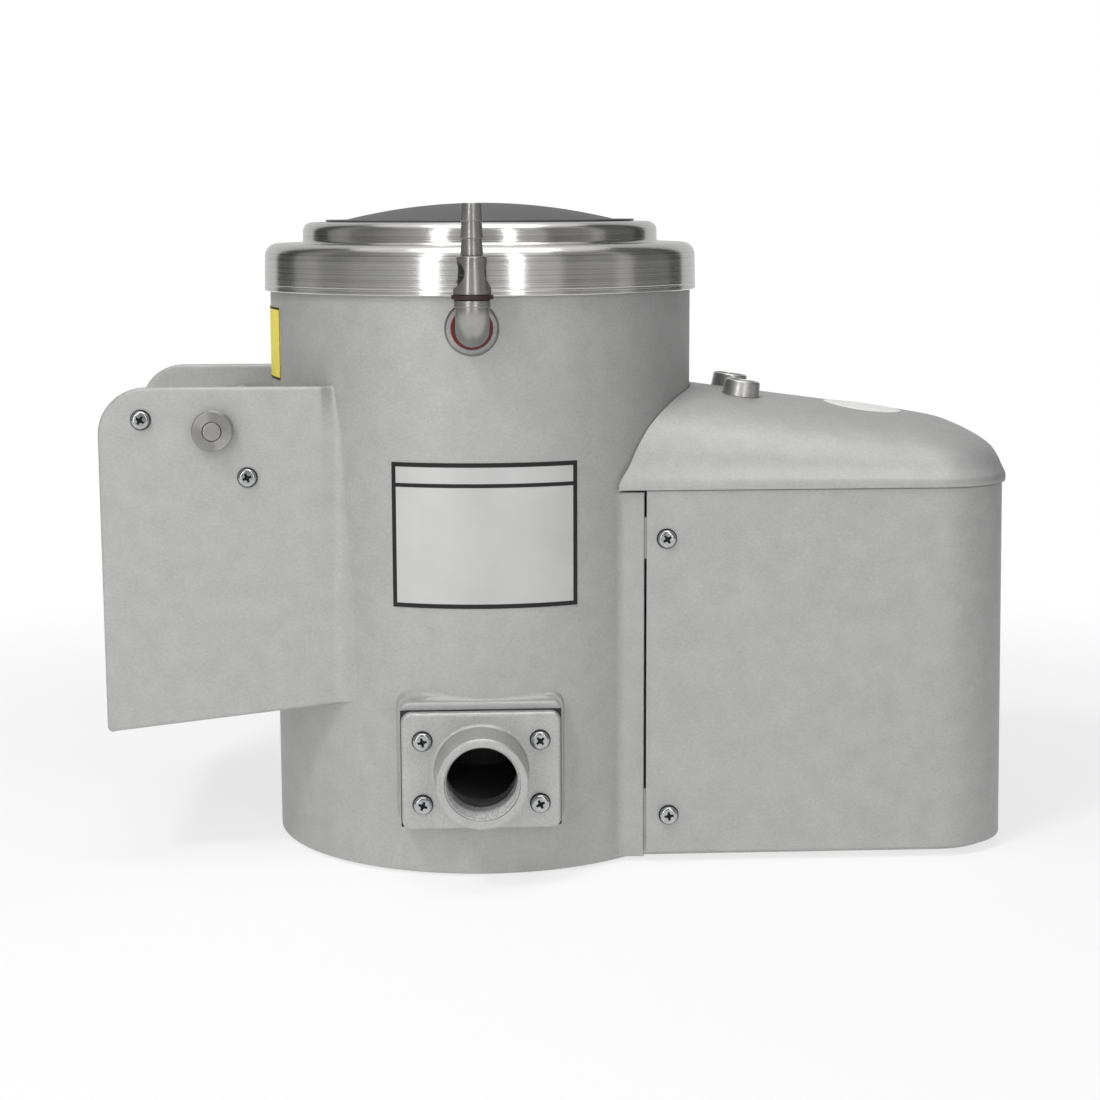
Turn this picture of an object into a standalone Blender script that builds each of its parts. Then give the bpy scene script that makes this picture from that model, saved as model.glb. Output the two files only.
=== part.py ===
"""Potato rumbler: a countertop potato peeler with a cast drum, a belt drive and a side chute.

All sizes are in metres, +Z is up and the drain faces -Y. Heights are measured from the bottom rim
of the drum, and the frame named machine lifts the whole object by the stand-out of its feet.
"""

import math

import bmesh
import bpy
from mathutils import Matrix, Vector

# Fits
GAP = 0.0003                    # between pieces that seat on each other
OVERRUN = 0.004                 # how far a cutter passes the face that it opens
BLEND_IN = 0.001                # how far a fused form sinks into its neighbour
MERGE_LIMIT = 0.00001

# Drum of the body casting
DRUM_RADIUS = 0.145
DRUM_WALL = 0.006
DRUM_HEIGHT = 0.4064
DRUM_RIM_CHAMFER = 0.0058       # clears the round corner of the top cover
DRUM_FOOT_CHAMFER = 0.0015
FLOOR_UNDERSIDE = 0.039
FLOOR_THICKNESS = 0.006
CHAMBER_FILLET = 0.012
DRUM_STEPS = 48

# Cheeks and chute, cast in one with the drum
CHEEK_SETBACK = 0.0335          # outer faces, inside the drum's widest
CHEEK_WALL = 0.007
CHEEK_TOP_DROP = 0.0881         # below the drum's rim
CHEEK_MARGIN = 0.0745           # from the door's axis to the free edge
CHEEK_TOP_RADIUS = 0.031
CHEEK_FOOT_RADIUS = 0.004
CHEEK_FOOT = 0.091              # height of the lower free corner
CHEEK_BLEND = 0.025             # fillet from a cheek's outer face to the drum
CHUTE_SLOPE = math.radians(6.5)
CHUTE_THICKNESS = 0.006
CHUTE_INSET = 0.001             # the floor stays this far inside the cheeks' edges
WINDOW_SETBACK = 0.0245         # from a cheek's inner face to the window that the door covers
WINDOW_SILL = 0.125
WINDOW_HEAD_DROP = 0.0783       # below the cheeks' top
WINDOW_CORNER = 0.012

# Door
DOOR_AXIS_STANDOUT = 0.031      # from the drum's outside
DOOR_AXIS_DROP = 0.0278         # below the cheeks' top
DOOR_CLEARANCE = 0.0006
DOOR_SHEET = 0.0044
DOOR_LAP = 0.0115               # past the window's sides
DOOR_TOP_LAP = 0.006
DOOR_FOOT_LAP = 0.0035
ARM_THICKNESS = 0.006
ARM_HUB_RADIUS = 0.013
SHAFT_RADIUS = 0.006
COLLAR_RADIUS = 0.01325
COLLAR_LENGTH = 0.010
STOP_RADIUS = 0.005
CLOSED_STOP = (0.0214, -0.0309)  # from the door's axis, in X and Z
OPEN_STOP = (-0.0464, 0.0071)
STOP_LAP = 0.0005               # past the far face of the arm
LEVER_HUB_RADIUS = 0.0125
LEVER_HUB_LENGTH = 0.012
LEVER_ROD_RADIUS = 0.005
LEVER_LENGTH = 0.1125
LEVER_SPLAY = 0.030             # how far the knob leans out from the hub
KNOB_RADIUS = 0.016
KNOB_SOCKET = 0.008
LEVER_NECK = 0.016
ARM_LEAD = 0.0172               # leading edge, from the door's axis
ARM_SHOULDER = 0.004
ARM_WAIST = 0.030
ARM_TOE = 0.014

# Drain
DRAIN_X = -0.005
DRAIN_Z = 0.072
DRAIN_STANDOUT = 0.004          # the pad's flat face, from the drum's outside
DRAIN_WIDTH = 0.103
DRAIN_HEIGHT = 0.0785
DRAIN_CORNER = 0.005
DRAIN_PAD_TOP = 0.005           # pad past the plate
DRAIN_PAD_SIDE = 0.003
DRAIN_PAD_SILL = 0.001          # pad short of the plate below
DRAIN_PAD_CORNER = 0.008
DRAIN_PAD_STEP = 0.020          # between points along the pad's edges
DRAIN_PAD_BACK_SHARE = 0.8
DRAIN_PAD_ROUND = 0.003
DRAIN_PAD_FILLET = 0.010
DRAIN_GASKET = 0.001
DRAIN_PLATE = 0.0064
DRAIN_PLATE_CHAMFER = 0.0012
SPIGOT_RADIUS = 0.0303
SPIGOT_LENGTH = 0.0325          # past the plate's front
SPIGOT_ROUND = 0.003
SPIGOT_FILLET = 0.004
DRAIN_BORE = 0.0239
DRAIN_BORE_CHAMFER = 0.0015
DRAIN_SCREW_SPAN = (0.076, 0.042)
DRAIN_TAP_DEPTH = 0.010

# M6 pan head screws
PAN_HEAD_RADIUS = 0.006
PAN_HEAD_HEIGHT = 0.0042
PAN_HEAD_ROUND = 0.0022
SCREW_RADIUS = 0.003
SCREW_STEPS = 8
BOLT_HEAD_RADIUS = 0.0058
BOLT_HEAD_HEIGHT = 0.004

# Motor bay of the body casting
BAY_FOOT = 0.0023
SHELF_TOP = 0.048
SHELF_THICKNESS = 0.005
BAY_WALL = 0.005
BAY_RELIEF = 0.001              # extra metal left outside the drum's wall
EAR_SETBACK = 0.030             # outer faces, inside the drum's widest
EAR_FLAT = 0.0129               # from the blend to the free edge
EAR_THICKNESS = 0.007
EAR_BLEND = 0.012
EAR_FOOT = 0.0012
LUG_LENGTH = 0.027
LUG_HEIGHT = 0.028
LUG_DEPTH = 0.012

# Motor cover
COVER_STANDOUT = 0.0025         # past the ears' faces
COVER_REACH = 0.1185            # from the motor's axis to the right end
COVER_FOOT = 0.0045
COVER_TOP_DROP = 0.0611         # below the control cover's crest
COVER_CORNER = 0.050
COVER_WALL = 0.003
COVER_SCREW_INSETS = (0.0131, 0.0150)   # of the upper and the lower one, from the left edge
COVER_SCREW_DROP = 0.0319       # upper one, below the cover's top
COVER_SCREW_RISE = 0.0261       # lower one, above the cover's foot
COVER_TAP_DEPTH = 0.009

# Control cover
LID_OVERHANG = 0.002
LID_RIGHT_OVERHANG = 0.0025
LID_LIP = 0.0045
LID_WALL = 0.004
LID_CREST_DROP = 0.0961         # at the drum end, below the drum's rim
LID_CREST_INSET = 0.0005        # where that height is taken, inside the drum's outside
LID_FALL = math.tan(math.radians(7.7))
LID_RUN_IN = 0.0272             # from the ears' edge into the drum, before it is cut
LID_NOSE_SHARE = 0.8            # most of a half width that its round corner takes
LID_SIDE_SHARES = (0.0, 0.0586, 0.1088, 0.1925, 0.3222, 0.5105, 0.8033)   # of its half width
LID_END_SHARES = (0.0, 0.0231, 0.0519, 0.1115, 0.2596, 0.4808, 0.8077)   # of its round corner
LID_RISE_SHARES = (0.0, 0.18, 0.37, 0.59, 0.776, 0.92, 1.0)

# Push buttons
BUTTON_STANDOUT = 0.0345        # from the drum's outside
BUTTON_Y = 0.033
BUTTON_SEAT_DROP = 0.0027       # spot face below the lid's crest line
BEZEL_RADIUS = 0.01275
BEZEL_TOP_RADIUS = 0.0119
BEZEL_HEIGHT = 0.0115
BEZEL_ROUND = 0.0015
BEZEL_SHANK = 0.0105
BEZEL_SHANK_LENGTH = 0.014
BEZEL_BORE = 0.0088
BUTTON_SINK = 0.0012
BUTTON_ROUND = 0.0008
BUTTON_TRAVEL = 0.003
CONTACT_WIDTH = 0.022
CONTACT_LENGTH = 0.030
CONTACT_HEIGHT = 0.026

# Top cover, spun from sheet
SPUN_SHEET = 0.002
SKIRT_STANDOUT = 0.0037         # outside the drum
SKIRT_TAPER = 0.0007
SKIRT_LAP = 0.0294              # below the drum's rim
SHELF_ROUND = 0.0085
STEP_SETBACK = 0.0267           # inside the skirt
STEP_RISE = 0.0143
STEP_ROUND = 0.0065
STEP_ROOT = 0.0015
LID_HOLE_SETBACK = 0.018        # inside the step
SPUN_STEPS = 32

# Rubber lid
RUBBER_LIP = 0.0018
RUBBER_LAP = 0.0023             # past the hole's edge
RUBBER_DOME_SETBACK = 0.0028    # inside the lip
RUBBER_RISE = 0.0125
RUBBER_WALL = 0.004
RUBBER_PLUG = 0.0065
RUBBER_CLEARANCE = 0.0006
RUBBER_DOME_SHARES = (0.0, 0.4, 0.7, 0.9, 1.0)

# Water inlet
INLET_X = -0.0085
INLET_DROP = 0.0497             # below the drum's rim
INLET_SPOT_RADIUS = 0.017
INLET_SPOT_DEPTH = 0.0032       # of the flat, inside the drum's outside
ELBOW_RADIUS = 0.01065
ELBOW_BORE = 0.0075
ELBOW_BEND = 0.014
INLET_STANDOUT = 0.032          # upright tail, from the drum's outside
ELBOW_RISE = 0.0196             # to its top, above the inlet
WASHER_RADIUS = 0.0135
WASHER_THICKNESS = 0.002
NUT_RADIUS = 0.015
NUT_THICKNESS = 0.006
NUT_CLEARANCE = 0.003           # where the chamber's wall curves away behind it
NUT_BORE = 0.0128
RING_RADIUS = 0.01315
RING_THICKNESS = 0.0026
AIR_GAP_RADII = (0.0092, 0.0099, 0.0097, 0.0080, 0.0080, 0.0116, 0.0124, 0.0124)
AIR_GAP_HEIGHT_SHARES = (1.0, 0.96, 0.74, 0.64, 0.36, 0.24, 0.18, 0.0)
AIR_GAP_HEIGHT = 0.0234
AIR_GAP_BORE = 0.0055
AIR_GAP_SLOT = 0.0048
AIR_GAP_SLOT_WIDTH = 0.0064
AIR_GAP_SLOT_SHARE = 0.5
TAIL_RADIUS = 0.0063
TAIL_BARB = 0.0006
TAIL_LENGTH = 0.0320
TAIL_BORE = 0.0040
TAIL_BARBS = 3
TAIL_STEP = 0.0012

# Spindle, bearings and housing
HOUSING_FLANGE = 0.050
HOUSING_FLANGE_THICKNESS = 0.008
HOUSING_TUBE = 0.030
HOUSING_TOP = 0.088
BEARING_RADIUS = 0.0235
BEARING_WIDTH = 0.014
BEARING_LAND = 0.020
BEARING_RECESS = 0.002
SEAL_WIDTH = 0.007
SPINDLE_RADIUS = 0.010
SPINDLE_FOOT = 0.0068
SPINDLE_COLLAR = 0.014
TANG_WIDTH = 0.014
TANG_LENGTH = 0.0145
HOUSING_BOLT_CIRCLE = 0.040
HOUSING_BOLTS = 3
HOUSING_TAP_TOP = 0.0435
HUB_CLEARANCE = 0.0006

# Rotor plate
ROTOR_CLEARANCE = 0.005         # to the chamber's wall
ROTOR_UNDERSIDE = 0.1085
ROTOR_THICKNESS = 0.008
ROTOR_RIM_DROP = 0.003
ROTOR_WAVE = 0.014
ROTOR_WAVES = 3
ROTOR_HUB_RADIUS = 0.021
ROTOR_HUB_FOOT = 0.091
VANE_LENGTH = 0.060
VANE_THICKNESS = 0.006
VANE_DEPTH = 0.012
VANE_SETBACK = 0.010
ROTOR_STEPS = 24
ROTOR_LIFT_SHARES = (0.0, 0.0, 0.35, 0.85, 1.0, 0.7, 0.15)
ROTOR_RADIUS_SHARES = (0.12, 0.18, 0.30, 0.50, 0.72, 0.90, 0.985)

# Belt drive
MOTOR_STANDOUT = 0.090          # its axis, from the drum's outside
DRIVEN_PULLEY_CLEARANCE = 0.055 # to the drum's outside
MOTOR_PULLEY_RADIUS = 0.0225
PULLEY_FOOT = 0.010
PULLEY_WIDTH = 0.016
PULLEY_WEB = 0.005
PULLEY_HUB_RADIUS = 0.020
PULLEY_RIM = 0.014
BELT_DEPTH = 0.008
BELT_TOP_WIDTH = 0.012
BELT_BASE_WIDTH = 0.0075
BELT_CLEARANCE = 0.0005
BELT_STEPS = 16
BELT_WALL_RUN = 0.012           # cutter past the wall that the belt passes through
MOTOR_PULLEY_HUB_RADIUS = 0.015
MOTOR_PULLEY_HUB_LENGTH = 0.010
GROOVE_RELIEF = 0.002
BELT_TUNNEL_SETBACK = 0.028     # its sides, inside the driven pulley's rim
BELT_TUNNEL_HEAD = 0.034

# Motor
MOTOR_RADIUS = 0.056
MOTOR_FIN = 0.004
MOTOR_FINS = 12
FIN_SHARES = (0.0, 0.12, 0.42, 0.54)
MOTOR_FLANGE = 0.140
MOTOR_FLANGE_THICKNESS = 0.009
MOTOR_FLANGE_CORNER = 0.016
MOTOR_TOP_DROP = 0.0632         # below the motor cover's top
MOTOR_SHAFT_RADIUS = 0.007
MOTOR_SHAFT_FOOT = 0.0085
MOTOR_BORE_CLEARANCE = 0.0006
MOTOR_BOLT_SPAN = 0.112
SHELF_HOLE_RADIUS = 0.030
COWL_HEIGHT = 0.032
COWL_WALL = 0.0015
COWL_VENT = 0.028
FAN_RADIUS = 0.050
FAN_HUB = 0.012
FAN_RISE = 0.007                # above the motor's top
FAN_DISC = 0.003
FAN_BLADES = 6
FAN_BLADE_HEIGHT = 0.012
FAN_BLADE_WIDTH = 0.002

# Underside
PLATE_FOOT = 0.003
PLATE_THICKNESS = 0.002
PLATE_CLEARANCE = 0.0005
FOOT_STANDOUT = 0.002
FOOT_RADIUS = 0.014
FOOT_STUD = 0.004
FOOT_STUD_LENGTH = 0.010
FOOT_CHAMFER = 0.0008
BOSS_RADIUS = 0.009
FOOT_SETBACK = 0.062            # left feet, inside the drum's widest
FOOT_INSET = 0.0355             # right feet, inside the motor cover

# Cable gland
GLAND_OFFSET = 0.055            # from the motor's axis
GLAND_Z = 0.082
GLAND_THREAD = 0.008
GLAND_NUT = 0.012
GLAND_NUT_LENGTH = 0.008
GLAND_DOME = 0.0105
GLAND_DOME_LENGTH = 0.014
GLAND_BORE = 0.0045
GLAND_THREAD_LENGTH = 0.010
GLAND_CHAMFER = 0.003
GLAND_HEX_BORE = 0.009

ROUND_STEPS = 12
FINE_STEPS = 20
PULLEY_STEPS = 20
ARC_STEPS = 2
CORNER_STEPS = 4                # on the motor cover and what follows it; even
SHARP_ANGLE = math.radians(32)

# Sizes that follow from the ones above
CHAMBER_RADIUS = DRUM_RADIUS - DRUM_WALL
FLOOR_TOP = FLOOR_UNDERSIDE + FLOOR_THICKNESS
CHEEK_HALF_SPAN = DRUM_RADIUS - CHEEK_SETBACK
CHEEK_INNER = CHEEK_HALF_SPAN - CHEEK_WALL
CHEEK_TOP = DRUM_HEIGHT - CHEEK_TOP_DROP
DOOR_AXIS_X = -(DRUM_RADIUS + DOOR_AXIS_STANDOUT)
DOOR_AXIS_Z = CHEEK_TOP - DOOR_AXIS_DROP
CHEEK_REACH = CHEEK_MARGIN - DOOR_AXIS_X
WINDOW_HALF_WIDTH = CHEEK_INNER - WINDOW_SETBACK
WINDOW_HEAD = CHEEK_TOP - WINDOW_HEAD_DROP
SHELF_UNDERSIDE = SHELF_TOP - SHELF_THICKNESS
DRAIN_FACE = DRUM_RADIUS + DRAIN_STANDOUT
DRAIN_BACK = DRAIN_FACE + GAP
DRAIN_PLATE_BACK = DRAIN_BACK + DRAIN_GASKET + GAP
DRAIN_PLATE_FRONT = DRAIN_PLATE_BACK + DRAIN_PLATE
SPIGOT_END = DRAIN_PLATE_FRONT + SPIGOT_LENGTH
SKIRT_RADIUS = DRUM_RADIUS + SKIRT_STANDOUT
SKIRT_FOOT = DRUM_HEIGHT - SKIRT_LAP
STEP_RADIUS = SKIRT_RADIUS - STEP_SETBACK
LID_HOLE_RADIUS = STEP_RADIUS - LID_HOLE_SETBACK
RUBBER_RADIUS = LID_HOLE_RADIUS + RUBBER_LAP
RUBBER_DOME_RADIUS = RUBBER_RADIUS - RUBBER_DOME_SETBACK
SPUN_SHELF = DRUM_HEIGHT + GAP + SPUN_SHEET
SPUN_TOP = SPUN_SHELF + STEP_RISE
INLET_Z = DRUM_HEIGHT - INLET_DROP
INLET_SPOT_FACE = DRUM_RADIUS - INLET_SPOT_DEPTH
INLET_AXIS = DRUM_RADIUS + INLET_STANDOUT
ELBOW_TOP = INLET_Z + ELBOW_RISE
NUT_FACE = CHAMBER_RADIUS - NUT_CLEARANCE
ROTOR_RADIUS = CHAMBER_RADIUS - ROTOR_CLEARANCE
MOTOR_X = DRUM_RADIUS + MOTOR_STANDOUT
DRIVEN_PULLEY_RADIUS = DRUM_RADIUS - DRIVEN_PULLEY_CLEARANCE
BELT_TUNNEL_HALF_WIDTH = DRIVEN_PULLEY_RADIUS - BELT_TUNNEL_SETBACK
EAR_FACE = DRUM_RADIUS - EAR_SETBACK
EAR_EDGE = math.sqrt((DRUM_RADIUS + EAR_BLEND) ** 2 - (EAR_FACE + EAR_BLEND) ** 2) + EAR_FLAT
COVER_FACE = EAR_FACE + COVER_STANDOUT
COVER_LEFT = EAR_EDGE + GAP
COVER_RIGHT = MOTOR_X + COVER_REACH
LID_CREST = DRUM_HEIGHT - LID_CREST_DROP
LID_CREST_X = DRUM_RADIUS - LID_CREST_INSET
LID_START = EAR_EDGE - LID_RUN_IN
COVER_TOP = LID_CREST - COVER_TOP_DROP
COVER_SCREW_PLACES = ((COVER_LEFT + COVER_SCREW_INSETS[0], COVER_TOP - COVER_SCREW_DROP),
                      (COVER_LEFT + COVER_SCREW_INSETS[1], COVER_FOOT + COVER_SCREW_RISE))
LID_FACE = COVER_FACE + LID_OVERHANG
LID_RIGHT = COVER_RIGHT + LID_RIGHT_OVERHANG
LID_CORNER = COVER_CORNER + LID_OVERHANG
LID_FOOT = COVER_TOP + GAP
LID_TILT = math.atan(LID_FALL)
BUTTON_X = DRUM_RADIUS + BUTTON_STANDOUT
MOTOR_TOP = COVER_TOP - MOTOR_TOP_DROP
FAN_FOOT = MOTOR_TOP + FAN_RISE
GLAND_X = MOTOR_X + GLAND_OFFSET
FOOT_HALF = DRUM_RADIUS - FOOT_SETBACK
FOOT_PLACES = ((-FOOT_HALF, -FOOT_HALF), (-FOOT_HALF, FOOT_HALF),
               (COVER_RIGHT - FOOT_INSET, FOOT_INSET - COVER_FACE),
               (COVER_RIGHT - FOOT_INSET, COVER_FACE - FOOT_INSET))
BAY_FACE = COVER_FACE - COVER_WALL - GAP
BAY_RIGHT = COVER_RIGHT - COVER_WALL - GAP
BAY_CORNER = COVER_CORNER - COVER_WALL - GAP
DOOR_INNER = DRUM_RADIUS + DOOR_CLEARANCE
DOOR_HALF_WIDTH = WINDOW_HALF_WIDTH + DOOR_LAP
DOOR_TOP = WINDOW_HEAD + DOOR_TOP_LAP
DOOR_FOOT = WINDOW_SILL - DOOR_FOOT_LAP
ARM_OUTER = DOOR_HALF_WIDTH + ARM_THICKNESS - BLEND_IN
ARM_INNER = DOOR_HALF_WIDTH - BLEND_IN
LEVER_HUB_START = CHEEK_HALF_SPAN + GAP
LEVER_HUB_END = LEVER_HUB_START + LEVER_HUB_LENGTH
KNOB_Y = (LEVER_HUB_START + LEVER_HUB_END) / 2 + LEVER_SPLAY
KNOB_Z = DOOR_AXIS_Z - LEVER_LENGTH
HOUSING_FOOT = FLOOR_UNDERSIDE - GAP - HOUSING_FLANGE_THICKNESS
LOWER_BEARING_FOOT = HOUSING_FOOT + BEARING_RECESS
SEAL_FOOT = HOUSING_TOP - SEAL_WIDTH
UPPER_BEARING_FOOT = SEAL_FOOT - GAP - BEARING_WIDTH
TANG_FOOT = ROTOR_HUB_FOOT - GAP
BOSS_FOOT = PLATE_FOOT + PLATE_THICKNESS + GAP
BUTTON_SEAT = LID_CREST - (BUTTON_X - LID_CREST_X) * LID_FALL - BUTTON_SEAT_DROP

FRONT_REACH = INLET_AXIS + RING_RADIUS
BACK_REACH = KNOB_Y + KNOB_RADIUS
CENTRE_X = (LID_RIGHT - CHEEK_REACH) / 2
CENTRE_Y = (BACK_REACH - FRONT_REACH) / 2

TOWARDS_FRONT = (math.pi / 2, 0, 0)      # local +Z then points to -Y
TOWARDS_BACK = (-math.pi / 2, 0, 0)
TOWARDS_RIGHT = (math.pi / 2, 0, math.pi / 2)   # an outline in Y and Z, thickened along X


def clear_scene():
    for item in list(bpy.data.objects):
        bpy.data.objects.remove(item, do_unlink=True)
    for group in list(bpy.data.collections):
        bpy.data.collections.remove(group)


def add_collection(name):
    group = bpy.data.collections.new(name)
    bpy.context.scene.collection.children.link(group)
    return group


def material(name, colour, metallic, roughness):
    finish = bpy.data.materials.get(name) or bpy.data.materials.new(name)
    finish.use_nodes = True
    shader = finish.node_tree.nodes["Principled BSDF"]
    shader.inputs["Base Color"].default_value = (*colour, 1.0)
    shader.inputs["Metallic"].default_value = metallic
    shader.inputs["Roughness"].default_value = roughness
    finish.diffuse_color = (*colour, 1.0)
    return finish


def cast_aluminium():
    return material("cast_aluminium", (0.47, 0.48, 0.49), 0.7, 0.55)


def spun_aluminium():
    return material("spun_aluminium", (0.75, 0.75, 0.74), 1.0, 0.22)


def stainless():
    return material("stainless_steel", (0.62, 0.61, 0.60), 1.0, 0.28)


def zinc_steel():
    return material("zinc_plated_steel", (0.66, 0.66, 0.65), 1.0, 0.30)


def black_rubber():
    return material("black_rubber", (0.03, 0.03, 0.03), 0.0, 0.75)


def grey_rubber():
    return material("grey_rubber", (0.14, 0.14, 0.145), 0.0, 0.6)


def red_fibre():
    return material("red_fibre", (0.10, 0.012, 0.018), 0.0, 0.6)


def grit():
    return material("silicon_carbide_grit", (0.055, 0.055, 0.06), 0.0, 0.95)


def black_plastic():
    return material("black_plastic", (0.02, 0.02, 0.02), 0.0, 0.45)


def motor_paint():
    return material("motor_paint", (0.10, 0.11, 0.12), 0.2, 0.5)


def button_plastic(name, colour):
    return material(name, colour, 0.0, 0.35)


def place(item, group, frame, finish=None):
    group.objects.link(item)
    item.parent = frame
    if finish:
        item.data.materials.append(finish)
    return item


def as_tool(item):
    item.hide_render = True
    item.display_type = "WIRE"
    return item


def arc(centre, radius, start, end, steps=ARC_STEPS):
    """Points along an arc, angles in degrees, both ends included."""
    turns = [math.radians(start + (end - start) * i / steps) for i in range(steps + 1)]
    return [(centre[0] + radius * math.cos(t), centre[1] + radius * math.sin(t)) for t in turns]


def rounded_box(low_x, low_y, high_x, high_y, radius, steps=ARC_STEPS):
    """Outline of a rectangle with round corners, anticlockwise."""
    inner = (low_x + radius, low_y + radius, high_x - radius, high_y - radius)
    return (arc((inner[0], inner[1]), radius, 180, 270, steps)
            + arc((inner[2], inner[1]), radius, 270, 360, steps)
            + arc((inner[2], inner[3]), radius, 0, 90, steps)
            + arc((inner[0], inner[3]), radius, 90, 180, steps))


class Workshop:
    """Makes pieces in one frame, and puts tools in a group of their own."""

    def __init__(self):
        self.parts = add_collection("potato_rumbler")
        self.tools = add_collection("cutters")
        self.machine = self.add_frame("machine", (-CENTRE_X, -CENTRE_Y, FOOT_STANDOUT), None)

    def add_frame(self, name, location, parent):
        empty = bpy.data.objects.new(name, None)
        empty.location = location
        empty.parent = parent
        self.parts.objects.link(empty)
        return empty

    def add(self, name, mesh, finish, location=(0, 0, 0), rotation=(0, 0, 0)):
        """Links a mesh as a piece if it has a finish, and as a tool if not."""
        item = bpy.data.objects.new(name, mesh)
        place(item, self.parts if finish else self.tools, self.machine, finish)
        item.location = location
        item.rotation_euler = rotation
        return item if finish else as_tool(item)

    def turned(self, name, profile, finish=None, steps=ROUND_STEPS, closed=False,
               location=(0, 0, 0), rotation=(0, 0, 0)):
        """A profile of radius and height, listed down its outer side, turned about Z."""
        mesh = bpy.data.meshes.new(name)
        spokes = [(radius, 0, height) for radius, height in profile]
        edges = [(i, i + 1) for i in range(len(spokes) - 1)]
        if closed:
            edges.append((len(spokes) - 1, 0))
        mesh.from_pydata(spokes, edges, [])
        item = self.add(name, mesh, finish, location, rotation)
        screw = item.modifiers.new("turn", "SCREW")
        screw.steps = steps
        screw.render_steps = steps
        screw.use_merge_vertices = True
        screw.merge_threshold = MERGE_LIMIT
        screw.use_smooth_shade = True
        return item

    def rod(self, name, radius, low, high, finish=None, steps=ROUND_STEPS, **where):
        profile = [(0, high), (radius, high), (radius, low), (0, low)]
        return self.turned(name, profile, finish, steps, **where)

    def ring(self, name, outer, inner, low, high, finish=None, steps=ROUND_STEPS, **where):
        profile = [(outer, high), (outer, low), (inner, low), (inner, high)]
        return self.turned(name, profile, finish, steps, closed=True, **where)

    def prism(self, name, outline, low, high, finish=None, location=(0, 0, 0),
              rotation=(0, 0, 0)):
        """A flat outline given thickness along local Z."""
        curve = bpy.data.curves.new(name, "CURVE")
        curve.dimensions = "2D"
        curve.fill_mode = "BOTH"
        curve.extrude = (high - low) / 2
        spline = curve.splines.new("POLY")
        spline.points.add(len(outline) - 1)
        for point, (x, y) in zip(spline.points, outline):
            point.co = (x, y, 0, 1)
        spline.use_cyclic_u = True
        mesh = self.curve_mesh(name, curve)
        mesh.transform(Matrix.Translation((0, 0, (low + high) / 2)))
        return self.add(name, mesh, finish, location, rotation)

    def side_prism(self, name, outline, low_y, high_y, finish=None):
        """An outline in X and Z given thickness along Y."""
        return self.prism(name, outline, -high_y, -low_y, finish, rotation=TOWARDS_FRONT)

    def tube(self, name, points, radius, finish=None, resolution=2, location=(0, 0, 0)):
        """A round rod that follows points."""
        curve = bpy.data.curves.new(name, "CURVE")
        curve.dimensions = "3D"
        curve.bevel_depth = radius
        curve.bevel_resolution = resolution
        curve.use_fill_caps = True
        spline = curve.splines.new("POLY")
        spline.points.add(len(points) - 1)
        for point, place_of in zip(spline.points, points):
            point.co = (*place_of, 1)
        return self.add(name, self.curve_mesh(name, curve), finish, location)

    def curve_mesh(self, name, curve):
        """The closed mesh of a curve, its caps welded."""
        source = bpy.data.objects.new(name + "_curve", curve)
        self.tools.objects.link(source)
        graph = bpy.context.evaluated_depsgraph_get()
        mesh = bpy.data.meshes.new_from_object(source.evaluated_get(graph))
        bpy.data.objects.remove(source, do_unlink=True)
        body = bmesh.new()
        body.from_mesh(mesh)
        bmesh.ops.remove_doubles(body, verts=body.verts, dist=MERGE_LIMIT)
        bmesh.ops.recalc_face_normals(body, faces=body.faces)
        body.to_mesh(mesh)
        body.free()
        mesh.name = name
        return mesh

    def loft(self, name, rings, finish=None, closed=True, capped=True, **where):
        """A skin through rows of points, one row to the next."""
        body = bmesh.new()
        rows = [[body.verts.new(point) for point in ring] for ring in rings]
        count = len(rows[0])
        spans = count if closed else count - 1
        for lower, upper in zip(rows, rows[1:]):
            for i in range(spans):
                j = (i + 1) % count
                body.faces.new((lower[i], lower[j], upper[j], upper[i]))
        if capped:
            body.faces.new(rows[0][::-1])
            body.faces.new(rows[-1])
        bmesh.ops.recalc_face_normals(body, faces=body.faces)
        mesh = bpy.data.meshes.new(name)
        body.to_mesh(mesh)
        body.free()
        return self.add(name, mesh, finish, **where)

    def box(self, name, low, high, finish=None, **where):
        """A cuboid between two corners."""
        body = bmesh.new()
        bmesh.ops.create_cube(body, size=1)
        size = [b - a for a, b in zip(low, high)]
        middle = [(a + b) / 2 for a, b in zip(low, high)]
        bmesh.ops.scale(body, vec=size, verts=body.verts)
        bmesh.ops.translate(body, vec=middle, verts=body.verts)
        mesh = bpy.data.meshes.new(name)
        body.to_mesh(mesh)
        body.free()
        return self.add(name, mesh, finish, **where)

    def thicken(self, item, thickness):
        wall = item.modifiers.new("wall", "SOLIDIFY")
        wall.thickness = thickness
        wall.offset = -1
        wall.use_even_offset = True
        return item


def combine(target, tool, operation):
    step = target.modifiers.new(tool.name, "BOOLEAN")
    step.operation = operation
    step.solver = "EXACT"
    step.object = tool
    return target


def fuse(target, *tools):
    for tool in tools:
        combine(target, tool, "UNION")


def cut(target, *tools):
    for tool in tools:
        combine(target, tool, "DIFFERENCE")


def blend_plan(face, edge, back, radius, side):
    """Plan outline of a wall that leaves the drum's side with a fillet tangent to both.

    face is the wall's outer distance from the drum axis, edge its free end in X and back its
    inner distance. side is -1 for a wall that runs to -X and 1 for one that runs to +X. It is
    drawn on the -Y side.
    """
    centre_y = face + radius
    centre_x = math.sqrt((DRUM_RADIUS + radius) ** 2 - centre_y ** 2)
    touch = 180 + math.degrees(math.atan2(centre_y, centre_x))
    fillet = arc((centre_x, centre_y), radius, 270, touch, 2 * ARC_STEPS)
    outline = [(edge, face)] + fillet + [(fillet[-1][0], back), (edge, back)]
    return [(side * x, -y) for x, y in outline]


def mirrored(outline):
    """The same outline on the other side of the X axis."""
    return [(x, -y) for x, y in reversed(outline)]


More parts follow.
